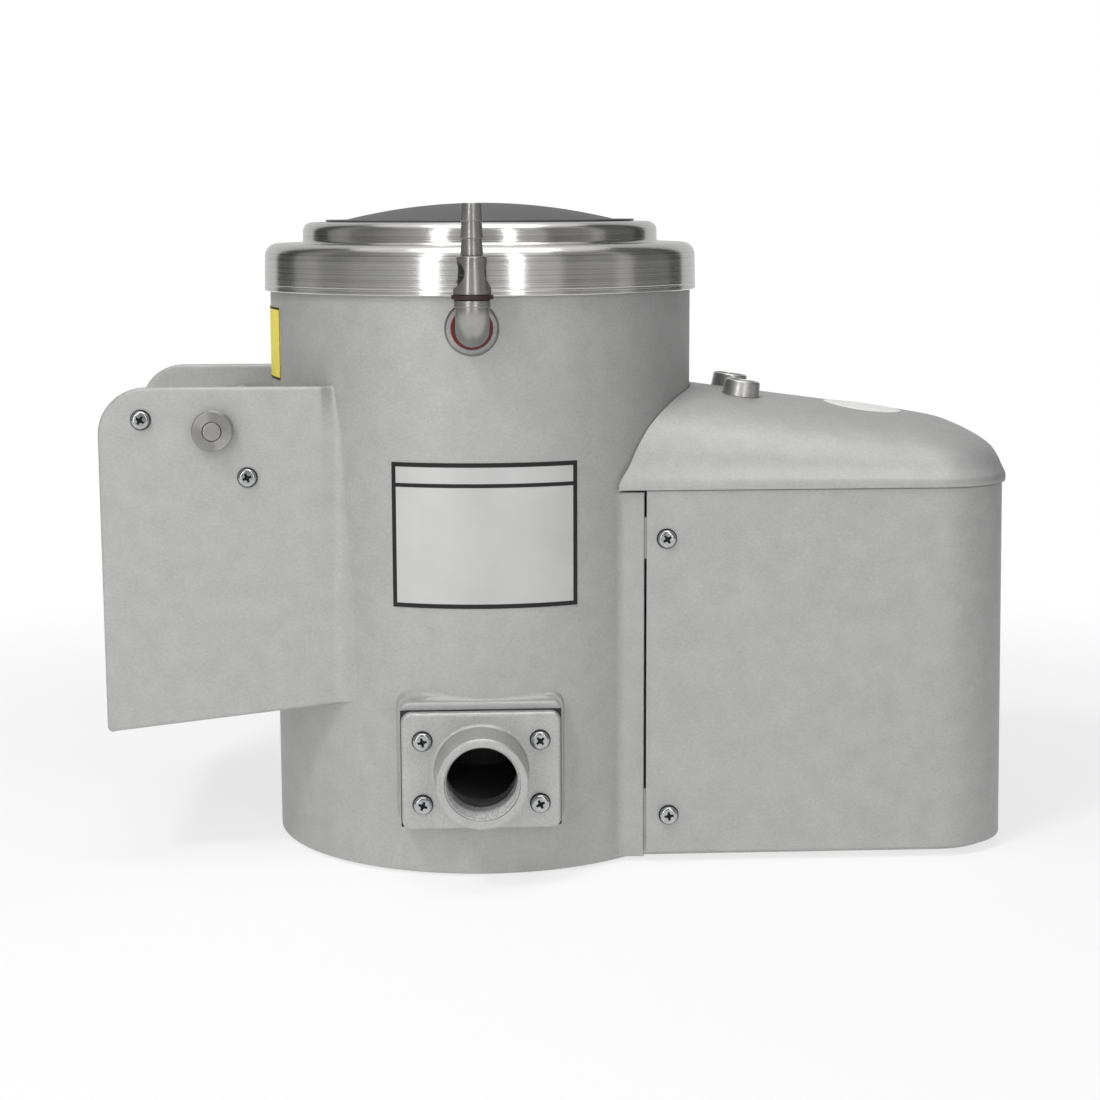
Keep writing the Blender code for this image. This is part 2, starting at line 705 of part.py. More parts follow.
def cheek_profile():
    """Side view of a cheek, in X and Z: a round top corner and a sloping lower edge."""
    rise = math.tan(CHUTE_SLOPE)
    root = -DRUM_RADIUS / 2
    free = -CHEEK_REACH
    foot = (free + CHEEK_FOOT_RADIUS, CHEEK_FOOT + CHEEK_FOOT_RADIUS)
    top = (free + CHEEK_TOP_RADIUS, CHEEK_TOP - CHEEK_TOP_RADIUS)
    outline = arc(foot, CHEEK_FOOT_RADIUS, 180, 270)
    outline += [(root, CHEEK_FOOT + (root - free) * rise), (root, CHEEK_TOP)]
    return outline + arc(top, CHEEK_TOP_RADIUS, 90, 180, 2 * ARC_STEPS)


def chute_profile():
    """Side view of the chute's floor, which falls away from the drum."""
    rise = math.tan(CHUTE_SLOPE)
    depth = CHUTE_THICKNESS / math.cos(CHUTE_SLOPE)
    free = -CHEEK_REACH + CHUTE_INSET
    root = -math.sqrt(CHAMBER_RADIUS ** 2 - CHEEK_INNER ** 2)
    low = CHEEK_FOOT + CHUTE_INSET
    high = low + (root - free) * rise
    return [(free, low), (root, high), (root, high + depth), (free, low + depth)]


def drum_depth(x):
    """Distance from the drum axis plane to its outer surface, at one X."""
    return math.sqrt(DRUM_RADIUS ** 2 - x ** 2)


def pad_outline():
    """Front view of the drain pad, in X and Z, with points along its long edges."""
    half = DRAIN_WIDTH / 2 + DRAIN_PAD_SIDE
    low = DRAIN_Z - DRAIN_HEIGHT / 2 + DRAIN_PAD_SILL
    high = DRAIN_Z + DRAIN_HEIGHT / 2 + DRAIN_PAD_TOP
    corners = rounded_box(DRAIN_X - half, low, DRAIN_X + half, high, DRAIN_PAD_CORNER)
    points = []
    for (x0, z0), (x1, z1) in zip(corners, corners[1:] + corners[:1]):
        runs = max(1, round(math.dist((x0, z0), (x1, z1)) / DRAIN_PAD_STEP))
        points += [(x0 + (x1 - x0) * i / runs, z0 + (z1 - z0) * i / runs) for i in range(runs)]
    return points


def outward(points, i):
    """Unit normal of an anticlockwise outline at point i."""
    before, after = points[i - 1], points[(i + 1) % len(points)]
    run = (after[0] - before[0], after[1] - before[1])
    length = math.hypot(*run)
    return run[1] / length, -run[0] / length


def drain_pad(shop):
    """The pad behind the drain plate: flat in front, its sides swept out into the drum."""
    outline = pad_outline()
    normals = [outward(outline, i) for i in range(len(outline))]

    def row(offsets, depths):
        return [(x + n[0] * off, -depth, z + n[1] * off)
                for (x, z), n, off, depth in zip(outline, normals, offsets, depths)]

    rings = []
    for turn in (0, 90):
        inset = DRAIN_PAD_ROUND * (math.sin(math.radians(turn)) - 1)
        drop = DRAIN_PAD_ROUND * (1 - math.cos(math.radians(turn)))
        rings.append(row([inset] * len(outline), [DRAIN_FACE - drop] * len(outline)))
    shoulder = DRAIN_FACE - DRAIN_PAD_ROUND
    sweeps = [min(DRAIN_PAD_FILLET, shoulder - drum_depth(x)) for x, _ in outline]
    for turn in (40, 80):
        reach = 1 - math.cos(math.radians(turn))
        lift = 1 - math.sin(math.radians(turn))
        offsets = [sweep * reach for sweep in sweeps]
        depths = [drum_depth(x + n[0] * off) + sweep * lift
                  for (x, _), n, off, sweep in zip(outline, normals, offsets, sweeps)]
        rings.append(row(offsets, depths))
    rings.append(row(offsets, [depth - 2 * BLEND_IN for depth in depths]))
    rings.append(row(offsets, [CHAMBER_RADIUS * DRAIN_PAD_BACK_SHARE] * len(outline)))
    return shop.loft("drain_pad", rings)


def bay_outline(inset):
    """Plan outline of the motor bay, from inside the drum to its rounded right end."""
    start = DRUM_RADIUS / 2 + inset
    face = BAY_FACE - inset
    radius = BAY_CORNER - inset
    right = BAY_RIGHT - inset
    corner = arc((right - radius, -face + radius), radius, 270, 360, CORNER_STEPS // 2)
    far_corner = [(x, -y) for x, y in reversed(corner)]
    return [(start, -face)] + corner + far_corner + [(start, face)]


def front_hole(shop, name, radius, low, high, x, z, steps=ROUND_STEPS):
    """A round cutter along Y on the front, between two distances from the drum axis."""
    return shop.rod(name, radius, low, high, steps=steps, location=(x, 0, z),
                    rotation=TOWARDS_FRONT)


def back_hole(shop, name, radius, low, high, x, z, steps=ROUND_STEPS):
    return shop.rod(name, radius, low, high, steps=steps, location=(x, 0, z),
                    rotation=TOWARDS_BACK)


def upright_hole(shop, name, radius, low, high, x, y, steps=ROUND_STEPS):
    return shop.rod(name, radius, low, high, steps=steps, location=(x, y, 0))


def drain_screw_places():
    half_x, half_z = DRAIN_SCREW_SPAN[0] / 2, DRAIN_SCREW_SPAN[1] / 2
    return [(DRAIN_X + sx * half_x, DRAIN_Z + sz * half_z) for sz in (1, -1) for sx in (-1, 1)]


def housing_bolt_places():
    turns = [math.pi / 2 + math.tau * i / HOUSING_BOLTS for i in range(HOUSING_BOLTS)]
    return [(HOUSING_BOLT_CIRCLE * math.cos(t), HOUSING_BOLT_CIRCLE * math.sin(t)) for t in turns]


def motor_bolt_places():
    half = MOTOR_BOLT_SPAN / 2
    return [(MOTOR_X - half, -half), (MOTOR_X + half, half)]


def outer_forms(shop, casting):
    """Everything that the casting adds outside its drum."""
    side = cheek_profile()
    plan = blend_plan(CHEEK_HALF_SPAN, CHEEK_REACH + OVERRUN, CHEEK_INNER, CHEEK_BLEND, -1)
    for name, outline in (("near_cheek", plan), ("far_cheek", mirrored(plan))):
        cheek = shop.prism(name, outline, CHEEK_FOOT - OVERRUN, CHEEK_TOP + OVERRUN)
        trim = shop.side_prism(name + "_side", side, -DRUM_RADIUS, DRUM_RADIUS)
        combine(cheek, trim, "INTERSECT")
        fuse(casting, cheek)
    half = CHEEK_INNER + CHUTE_INSET
    fuse(casting, shop.side_prism("chute_floor", chute_profile(), -half, half))
    ear = blend_plan(EAR_FACE, EAR_EDGE, EAR_FACE - EAR_THICKNESS, EAR_BLEND, 1)
    for name, outline in (("near_ear", ear), ("far_ear", mirrored(ear))):
        fuse(casting, shop.prism(name, outline, EAR_FOOT, COVER_TOP))
    fuse(casting, shop.prism("bay_block", bay_outline(0), BAY_FOOT, SHELF_TOP))
    lug_x, lug_z = COVER_SCREW_PLACES[0]
    for name, side_of in (("near_lug", -1), ("far_lug", 1)):
        faces = sorted((side_of * BAY_FACE, side_of * (BAY_FACE - LUG_DEPTH)))
        low = (EAR_EDGE - EAR_THICKNESS, faces[0], lug_z - LUG_HEIGHT / 2)
        high = (EAR_EDGE + LUG_LENGTH, faces[1], lug_z + LUG_HEIGHT / 2)
        fuse(casting, shop.box(name, low, high))
    fuse(casting, drain_pad(shop))


def hollows(shop, casting):
    """The chamber above the floor, the belt space below it and the motor bay."""
    corner = (CHAMBER_RADIUS - CHAMBER_FILLET, FLOOR_TOP + CHAMBER_FILLET)
    fillet = arc(corner, CHAMBER_FILLET, 360, 270)
    chamber = [(0, DRUM_HEIGHT + OVERRUN), (CHAMBER_RADIUS, DRUM_HEIGHT + OVERRUN)]
    cut(casting, shop.turned("chamber", chamber + fillet + [(0, FLOOR_TOP)], steps=DRUM_STEPS))
    cut(casting, shop.rod("belt_space", CHAMBER_RADIUS, -OVERRUN, FLOOR_UNDERSIDE,
                          steps=DRUM_STEPS))
    bay = shop.prism("bay_space", bay_outline(BAY_WALL), -OVERRUN, SHELF_UNDERSIDE)
    cut(bay, shop.rod("drum_guard", DRUM_RADIUS + BAY_RELIEF, -2 * OVERRUN, SHELF_TOP,
                      steps=DRUM_STEPS))
    cut(casting, bay)
    low = (CHAMBER_RADIUS - 2 * BELT_WALL_RUN, -BELT_TUNNEL_HALF_WIDTH, -OVERRUN)
    high = (DRUM_RADIUS + BELT_WALL_RUN, BELT_TUNNEL_HALF_WIDTH, BELT_TUNNEL_HEAD)
    cut(casting, shop.box("belt_tunnel", low, high))


def foot_bosses(shop, casting):
    for i, (x, y) in enumerate(FOOT_PLACES):
        roof = FLOOR_UNDERSIDE if x < 0 else SHELF_UNDERSIDE
        fuse(casting, upright_hole(shop, f"boss_{i}", BOSS_RADIUS, BOSS_FOOT,
                                   roof + BLEND_IN, x, y))
    for i, (x, y) in enumerate(FOOT_PLACES):
        depth = PLATE_FOOT - GAP + FOOT_STUD_LENGTH + OVERRUN / 2
        cut(casting, upright_hole(shop, f"stud_hole_{i}", FOOT_STUD + GAP, BOSS_FOOT - OVERRUN,
                                  depth, x, y, SCREW_STEPS))


def openings(shop, casting):
    """The door window, the bores and the fastener holes."""
    window = rounded_box(-WINDOW_HALF_WIDTH, WINDOW_SILL, WINDOW_HALF_WIDTH, WINDOW_HEAD,
                         WINDOW_CORNER)
    cut(casting, shop.prism("door_window", window, -DRUM_RADIUS - OVERRUN,
                            -drum_depth(WINDOW_HALF_WIDTH) + 2 * DRUM_WALL,
                            rotation=TOWARDS_RIGHT))
    cut(casting, front_hole(shop, "drain_bore", DRAIN_BORE, DRAIN_FACE - 4 * DRUM_WALL,
                            DRAIN_FACE + OVERRUN, DRAIN_X, DRAIN_Z, FINE_STEPS))
    cut(casting, front_hole(shop, "inlet_spot", INLET_SPOT_RADIUS, INLET_SPOT_FACE,
                            DRUM_RADIUS + OVERRUN, INLET_X, INLET_Z, FINE_STEPS))
    cut(casting, front_hole(shop, "inlet_hole", ELBOW_RADIUS + GAP, INLET_SPOT_FACE
                            - 2 * DRUM_WALL, DRUM_RADIUS, INLET_X, INLET_Z))
    cut(casting, upright_hole(shop, "housing_hole", HOUSING_TUBE + GAP, FLOOR_UNDERSIDE
                              - OVERRUN, FLOOR_TOP + OVERRUN, 0, 0, FINE_STEPS))
    cut(casting, upright_hole(shop, "shaft_window", SHELF_HOLE_RADIUS, SHELF_UNDERSIDE
                              - OVERRUN, SHELF_TOP + OVERRUN, MOTOR_X, 0))
    cut(casting, shop.rod("door_shaft_hole", SHAFT_RADIUS + GAP, -DRUM_RADIUS, DRUM_RADIUS,
                          location=(DOOR_AXIS_X, 0, DOOR_AXIS_Z), rotation=TOWARDS_FRONT))
    hole = SCREW_RADIUS + GAP
    for i, (x, z) in enumerate(drain_screw_places()):
        cut(casting, front_hole(shop, f"drain_tap_{i}", hole, DRAIN_FACE - DRAIN_TAP_DEPTH,
                                DRAIN_FACE + OVERRUN, x, z, SCREW_STEPS))
    for i, (x, z) in enumerate(stop_places()):
        cut(casting, front_hole(shop, f"stop_hole_{i}", hole, CHEEK_INNER - OVERRUN,
                                CHEEK_HALF_SPAN + OVERRUN, x, z, SCREW_STEPS))
    for i, (x, z) in enumerate(COVER_SCREW_PLACES):
        low, high = BAY_FACE - COVER_TAP_DEPTH, BAY_FACE + OVERRUN
        cut(casting, front_hole(shop, f"near_tap_{i}", hole, low, high, x, z, SCREW_STEPS),
            back_hole(shop, f"far_tap_{i}", hole, low, high, x, z, SCREW_STEPS))
    for i, (x, y) in enumerate(housing_bolt_places()):
        cut(casting, upright_hole(shop, f"housing_tap_{i}", hole, FLOOR_UNDERSIDE - OVERRUN,
                                  HOUSING_TAP_TOP, x, y, SCREW_STEPS))
    for i, (x, y) in enumerate(motor_bolt_places()):
        cut(casting, upright_hole(shop, f"motor_tap_{i}", hole, SHELF_UNDERSIDE - OVERRUN,
                                  SHELF_TOP + OVERRUN, x, y, SCREW_STEPS))


def body_casting(shop):
    """The drum with its cheeks, chute, drain pad and motor bay, cast in one piece."""
    profile = [(0, DRUM_HEIGHT), (DRUM_RADIUS - DRUM_RIM_CHAMFER, DRUM_HEIGHT),
               (DRUM_RADIUS, DRUM_HEIGHT - DRUM_RIM_CHAMFER), (DRUM_RADIUS, DRUM_FOOT_CHAMFER),
               (DRUM_RADIUS - DRUM_FOOT_CHAMFER, 0), (0, 0)]
    casting = shop.turned("body_casting", profile, cast_aluminium(), DRUM_STEPS)
    outer_forms(shop, casting)
    hollows(shop, casting)
    foot_bosses(shop, casting)
    openings(shop, casting)
    return casting


def stop_places():
    return [(DOOR_AXIS_X + x, DOOR_AXIS_Z + z) for x, z in (CLOSED_STOP, OPEN_STOP)]


def underside_plate(shop):
    """The sheet that closes the belt space, clamped by the feet."""
    low, high = PLATE_FOOT, PLATE_FOOT + PLATE_THICKNESS
    plate = shop.rod("underside_plate", CHAMBER_RADIUS - PLATE_CLEARANCE, low, high,
                     stainless(), DRUM_STEPS)
    bay = shop.prism("plate_bay", bay_outline(BAY_WALL + PLATE_CLEARANCE), low, high)
    guard = DRUM_RADIUS + BAY_RELIEF + PLATE_CLEARANCE
    cut(bay, shop.rod("plate_guard", guard, low - OVERRUN, high + OVERRUN, steps=DRUM_STEPS))
    half = BELT_TUNNEL_HALF_WIDTH - PLATE_CLEARANCE
    neck = shop.box("plate_neck", (CHAMBER_RADIUS - BELT_WALL_RUN, -half, low),
                    (DRUM_RADIUS + BELT_WALL_RUN, half, high))
    fuse(plate, bay, neck)
    for i, (x, y) in enumerate(FOOT_PLACES):
        cut(plate, upright_hole(shop, f"plate_hole_{i}", FOOT_STUD + GAP, low - OVERRUN,
                                high + OVERRUN, x, y, SCREW_STEPS))
    return plate


def rubber_feet(shop):
    """Four recessed feet on studs, which stand the machine up and clamp the plate."""
    top = PLATE_FOOT - GAP
    profile = [(0, top + FOOT_STUD_LENGTH), (FOOT_STUD, top + FOOT_STUD_LENGTH),
               (FOOT_STUD, top), (FOOT_RADIUS, top), (FOOT_RADIUS, FOOT_CHAMFER - FOOT_STANDOUT),
               (FOOT_RADIUS - FOOT_CHAMFER, -FOOT_STANDOUT), (0, -FOOT_STANDOUT)]
    names = ("foot_front_left", "foot_back_left", "foot_front_right", "foot_back_right")
    for name, (x, y) in zip(names, FOOT_PLACES):
        shop.turned(name, profile, black_rubber(), SCREW_STEPS, location=(x, y, 0))


def pan_screw(shop, name, seat, length, x, z, rotation):
    """A pan head screw along Y, its head's underside at one distance from the drum axis."""
    crown = arc((PAN_HEAD_RADIUS - PAN_HEAD_ROUND, seat + PAN_HEAD_HEIGHT - PAN_HEAD_ROUND),
                PAN_HEAD_ROUND, 90, 0, 1)
    profile = [(0, seat + PAN_HEAD_HEIGHT)] + crown
    profile += [(PAN_HEAD_RADIUS, seat), (SCREW_RADIUS, seat), (SCREW_RADIUS, seat - length),
                (0, seat - length)]
    return shop.turned(name, profile, zinc_steel(), SCREW_STEPS, location=(x, 0, z),
                       rotation=rotation)


def hex_bolt(shop, name, seat, length, x, y, head_up):
    """A hexagon bolt along Z, with its head above or below the seat."""
    way = 1 if head_up else -1
    head = sorted((seat, seat + way * BOLT_HEAD_HEIGHT))
    shank = sorted((seat + way * BLEND_IN, seat - way * length))
    bolt = shop.rod(name, SCREW_RADIUS, *shank, zinc_steel(), SCREW_STEPS, location=(x, y, 0))
    fuse(bolt, shop.rod(name + "_head", BOLT_HEAD_RADIUS, *head, steps=6, location=(x, y, 0)))
    return bolt


def drain(shop):
    """Gasket, flanged outlet and its four screws."""
    left, right = DRAIN_X - DRAIN_WIDTH / 2, DRAIN_X + DRAIN_WIDTH / 2
    low, high = DRAIN_Z - DRAIN_HEIGHT / 2, DRAIN_Z + DRAIN_HEIGHT / 2
    outline = rounded_box(left, low, right, high, DRAIN_CORNER)
    gasket = shop.side_prism("drain_gasket", outline, -DRAIN_BACK - DRAIN_GASKET, -DRAIN_BACK,
                             black_rubber())
    flange = shop.side_prism("drain_flange", outline, -DRAIN_PLATE_FRONT, -DRAIN_PLATE_BACK,
                             cast_aluminium())
    bevel = flange.modifiers.new("edge", "BEVEL")
    bevel.width = DRAIN_PLATE_CHAMFER
    bevel.segments = 1
    bevel.limit_method = "ANGLE"
    root = (SPIGOT_RADIUS + SPIGOT_FILLET, DRAIN_PLATE_FRONT + SPIGOT_FILLET)
    lip = arc((SPIGOT_RADIUS - SPIGOT_ROUND, SPIGOT_END - SPIGOT_ROUND), SPIGOT_ROUND, 90, 0)
    profile = [(0, SPIGOT_END)] + lip + arc(root, SPIGOT_FILLET, 180, 270)
    profile += [(SPIGOT_RADIUS + SPIGOT_FILLET, DRAIN_PLATE_FRONT - BLEND_IN),
                (0, DRAIN_PLATE_FRONT - BLEND_IN)]
    fuse(flange, shop.turned("spigot", profile, steps=FINE_STEPS, location=(DRAIN_X, 0, DRAIN_Z),
                             rotation=TOWARDS_FRONT))
    mouth = DRAIN_BORE + DRAIN_BORE_CHAMFER + OVERRUN
    way = [(0, SPIGOT_END + OVERRUN), (mouth, SPIGOT_END + OVERRUN),
           (DRAIN_BORE, SPIGOT_END - DRAIN_BORE_CHAMFER), (DRAIN_BORE, DRAIN_FACE - OVERRUN),
           (0, DRAIN_FACE - OVERRUN)]
    bore = shop.turned("outlet_bore", way, steps=FINE_STEPS, location=(DRAIN_X, 0, DRAIN_Z),
                       rotation=TOWARDS_FRONT)
    cut(flange, bore)
    cut(gasket, bore)
    hole = SCREW_RADIUS + GAP
    for i, (x, z) in enumerate(drain_screw_places()):
        drill = front_hole(shop, f"drain_hole_{i}", hole, DRAIN_FACE - OVERRUN,
                           SPIGOT_END, x, z, SCREW_STEPS)
        cut(flange, drill)
        cut(gasket, drill)
        pan_screw(shop, f"drain_screw_{i + 1}", DRAIN_PLATE_FRONT + GAP,
                  DRAIN_PLATE_FRONT - DRAIN_FACE + DRAIN_TAP_DEPTH - OVERRUN / 2, x, z,
                  TOWARDS_FRONT)


def water_inlet(shop):
    """The elbow through the drum, its washer and nut, and the air gap with its hose tail."""
    place_of = {"location": (INLET_X, 0, INLET_Z), "rotation": TOWARDS_FRONT}
    seat = INLET_SPOT_FACE + GAP
    shop.ring("inlet_washer", WASHER_RADIUS, ELBOW_RADIUS + GAP, seat, seat + WASHER_THICKNESS,
              red_fibre(), **place_of)
    shop.ring("inlet_lock_nut", NUT_RADIUS, NUT_BORE, NUT_FACE - NUT_THICKNESS, NUT_FACE,
              stainless(), 6, **place_of)
    centre = (-(INLET_AXIS - ELBOW_BEND), INLET_Z + ELBOW_BEND)
    bend = arc(centre, ELBOW_BEND, 270, 180, 2 * ARC_STEPS)
    start = NUT_FACE - NUT_THICKNESS - GAP

    def route(run):
        return ([(INLET_X, -start + run, INLET_Z)] + [(INLET_X, y, z) for y, z in bend]
                + [(INLET_X, -INLET_AXIS, ELBOW_TOP + run)])

    elbow = shop.tube("inlet_elbow", route(0), ELBOW_RADIUS, stainless(), 4)
    cut(elbow, shop.tube("elbow_bore", route(OVERRUN), ELBOW_BORE, resolution=3))
    spot = {"location": (INLET_X, -INLET_AXIS, 0)}
    ring_foot = ELBOW_TOP + GAP
    shop.ring("inlet_ring", RING_RADIUS, ELBOW_BORE, ring_foot, ring_foot + RING_THICKNESS,
              red_fibre(), **spot)
    foot = ring_foot + RING_THICKNESS + GAP
    top = foot + AIR_GAP_HEIGHT
    outside = [(radius, foot + AIR_GAP_HEIGHT * share)
               for radius, share in zip(AIR_GAP_RADII, AIR_GAP_HEIGHT_SHARES)]
    body = shop.turned("air_gap_body", outside + [(AIR_GAP_BORE, foot), (AIR_GAP_BORE, top)],
                       stainless(), closed=True, **spot)
    middle = foot + AIR_GAP_HEIGHT * AIR_GAP_SLOT_SHARE
    cut(body, shop.box("air_slot", (-RING_RADIUS, -AIR_GAP_SLOT_WIDTH / 2, middle
                                    - AIR_GAP_SLOT / 2),
                       (RING_RADIUS, AIR_GAP_SLOT_WIDTH / 2, middle + AIR_GAP_SLOT / 2), **spot))
    tail_foot = top + GAP
    pitch = TAIL_LENGTH / TAIL_BARBS
    outside = []
    for i in reversed(range(TAIL_BARBS)):
        low = tail_foot + i * pitch
        outside += [(TAIL_RADIUS - TAIL_BARB, low + pitch), (TAIL_RADIUS, low + TAIL_STEP)]
        outside += [(TAIL_RADIUS - TAIL_BARB, low)]
    profile = [point for i, point in enumerate(outside) if i == 0 or point != outside[i - 1]]
    shop.turned("hose_tail", profile + [(TAIL_BORE, tail_foot), (TAIL_BORE, tail_foot
                                                                 + TAIL_LENGTH)],
                stainless(), closed=True, **spot)


def motor_cover(shop):
    """The wrap-round cover of the motor bay, open towards the drum."""
    radius = COVER_CORNER
    corner = arc((COVER_RIGHT - radius, -COVER_FACE + radius), radius, 270, 360, CORNER_STEPS)
    path = [(COVER_LEFT, -COVER_FACE)] + corner + [(x, -y) for x, y in reversed(corner)]
    path.append((COVER_LEFT, COVER_FACE))
    rings = [[(x, y, z) for x, y in path] for z in (COVER_FOOT, COVER_TOP)]
    cover = shop.loft("motor_cover", rings, cast_aluminium(), closed=False, capped=False)
    shop.thicken(cover, COVER_WALL)
    hole = SCREW_RADIUS + GAP
    for i, (x, z) in enumerate(COVER_SCREW_PLACES):
        cut(cover, shop.rod(f"cover_hole_{i}", hole, -DRUM_RADIUS, DRUM_RADIUS,
                            steps=SCREW_STEPS, location=(x, 0, z), rotation=TOWARDS_FRONT))
    cut(cover, back_hole(shop, "gland_hole", GLAND_THREAD + GAP, BAY_FACE - OVERRUN,
                         COVER_FACE + OVERRUN, GLAND_X, GLAND_Z))
    length = COVER_FACE - BAY_FACE + COVER_TAP_DEPTH - OVERRUN / 4
    levels = ("upper", "lower")
    for (x, z), level in zip(COVER_SCREW_PLACES, levels):
        pan_screw(shop, f"cover_screw_near_{level}", COVER_FACE + GAP, length, x, z,
                  TOWARDS_FRONT)
        pan_screw(shop, f"cover_screw_far_{level}", COVER_FACE + GAP, length, x, z,
                  TOWARDS_BACK)


def crest(x):
    """Height of the control cover's ridge, which falls away from the drum."""
    return LID_CREST - (x - LID_CREST_X) * LID_FALL


def lid_ring(side_inset, end_inset, height_at):
    """One level line of the control cover, open at the drum."""
    half = LID_FACE - side_inset
    right = LID_RIGHT - end_inset
    depth = min(LID_CORNER, half * LID_NOSE_SHARE)
    turns = [math.pi / 2 * i / CORNER_STEPS for i in range(CORNER_STEPS + 1)]
    corner = [(right - LID_CORNER + LID_CORNER * math.sin(t), -half + depth - depth * math.cos(t))
              for t in turns]
    path = [(LID_START, -half)] + corner + [(x, -y) for x, y in reversed(corner)]
    path.append((LID_START, half))
    return [(x, y, height_at(x)) for x, y in path]


def control_cover(shop):
    """The cast lid over the motor bay: a low arch with a round end and a vertical lip."""
    base = LID_FOOT + LID_LIP
    rings = [lid_ring(0, 0, lambda x: LID_FOOT)]
    for side, end, share in zip(LID_SIDE_SHARES, LID_END_SHARES, LID_RISE_SHARES):
        rings.append(lid_ring(LID_FACE * side, LID_CORNER * end,
                              lambda x, share=share: base + share * (crest(x) - base)))
    lid = shop.loft("control_cover", rings, cast_aluminium(), closed=False, capped=False)
    body = bmesh.new()
    body.from_mesh(lid.data)
    body.verts.ensure_lookup_table()
    count = len(rings[0])
    top = body.verts[-count:]
    for i in range(count // 2 - 1):
        body.faces.new((top[i], top[i + 1], top[-i - 2], top[-i - 1]))
    bmesh.ops.recalc_face_normals(body, faces=body.faces)
    if max(body.faces, key=lambda face: face.calc_center_median().z).normal.z < 0:
        bmesh.ops.reverse_faces(body, faces=body.faces)
    body.to_mesh(lid.data)
    body.free()
    shop.thicken(lid, LID_WALL)
    cut(lid, shop.rod("lid_relief", DRUM_RADIUS + 2 * GAP, LID_FOOT - OVERRUN,
                      LID_CREST + 4 * OVERRUN, steps=DRUM_STEPS))
    for name, y in (("start", -BUTTON_Y), ("stop", BUTTON_Y)):
        seat = {"location": (BUTTON_X, y, BUTTON_SEAT), "rotation": (0, LID_TILT, 0)}
        wide, narrow = BEZEL_RADIUS + 2 * GAP, BEZEL_SHANK + GAP
        profile = [(0, 2 * OVERRUN), (wide, 2 * OVERRUN), (wide, 0), (narrow, 0),
                   (narrow, -4 * OVERRUN), (0, -4 * OVERRUN)]
        cut(lid, shop.turned(name + "_seat", profile, **seat))


def push_button(shop, name, y, finish):
    """A metal bezel in the lid, with its button and the contact block behind it."""
    seat = {"location": (BUTTON_X, y, BUTTON_SEAT), "rotation": (0, LID_TILT, 0)}
    rim = arc((BEZEL_TOP_RADIUS - BEZEL_ROUND, BEZEL_HEIGHT - BEZEL_ROUND), BEZEL_ROUND, 90, 0)
    profile = rim + [(BEZEL_RADIUS, GAP), (BEZEL_SHANK, GAP), (BEZEL_SHANK, -BEZEL_SHANK_LENGTH),
                     (BEZEL_BORE, -BEZEL_SHANK_LENGTH), (BEZEL_BORE, BEZEL_HEIGHT)]
    shop.turned(name + "_bezel", profile, stainless(), closed=True, **seat)
    radius = BEZEL_BORE - GAP
    contact_top = -BEZEL_SHANK_LENGTH - GAP
    top = BEZEL_HEIGHT - BUTTON_SINK
    profile = [(0, top), (radius - BUTTON_ROUND, top), (radius, top - BUTTON_ROUND),
               (radius, contact_top + BUTTON_TRAVEL + GAP), (0, contact_top + BUTTON_TRAVEL + GAP)]
    shop.turned(name + "_button", profile, finish, **seat)
    low = (-CONTACT_LENGTH / 2, -CONTACT_WIDTH / 2, contact_top - CONTACT_HEIGHT)
    high = (CONTACT_LENGTH / 2, CONTACT_WIDTH / 2, contact_top)
    shop.box(name + "_contact", low, high, black_plastic(), **seat)


def cable_gland(shop):
    """The gland for a supply cable, low on the far side of the motor cover."""
    where = {"location": (GLAND_X, 0, GLAND_Z), "rotation": TOWARDS_BACK}
    seat = COVER_FACE + GAP
    end = seat + GLAND_NUT_LENGTH + GLAND_DOME_LENGTH
    inside = COVER_FACE - COVER_WALL - GLAND_THREAD_LENGTH
    profile = [(GLAND_DOME - GLAND_CHAMFER, end), (GLAND_DOME, end - GLAND_CHAMFER),
               (GLAND_DOME, seat + BLEND_IN), (GLAND_THREAD, seat + BLEND_IN),
               (GLAND_THREAD, inside), (GLAND_BORE, inside), (GLAND_BORE, end)]
    gland = shop.turned("cable_gland", profile, black_plastic(), closed=True, **where)
    fuse(gland, shop.ring("gland_hexagon", GLAND_NUT, GLAND_HEX_BORE, seat,
                          seat + GLAND_NUT_LENGTH, steps=6, **where))


def top_cover(shop):
    """The spun cover: a skirt over the drum's rim, a shelf and a raised ring with a hole."""
    top_radius = SKIRT_RADIUS - SKIRT_TAPER
    step_arc = arc((STEP_RADIUS - STEP_ROUND, SPUN_TOP - STEP_ROUND), STEP_ROUND, 90, 0)
    shelf_arc = arc((top_radius - SHELF_ROUND, SPUN_SHELF - SHELF_ROUND), SHELF_ROUND, 90, 0)
    profile = [(LID_HOLE_RADIUS, SPUN_TOP)] + step_arc
    profile += [(STEP_RADIUS, SPUN_SHELF + STEP_ROOT), (STEP_RADIUS + STEP_ROOT, SPUN_SHELF)]
    profile += shelf_arc + [(SKIRT_RADIUS, SKIRT_FOOT)]
    cover = shop.turned("top_cover", profile, spun_aluminium(), SPUN_STEPS)
    shop.thicken(cover, SPUN_SHEET)


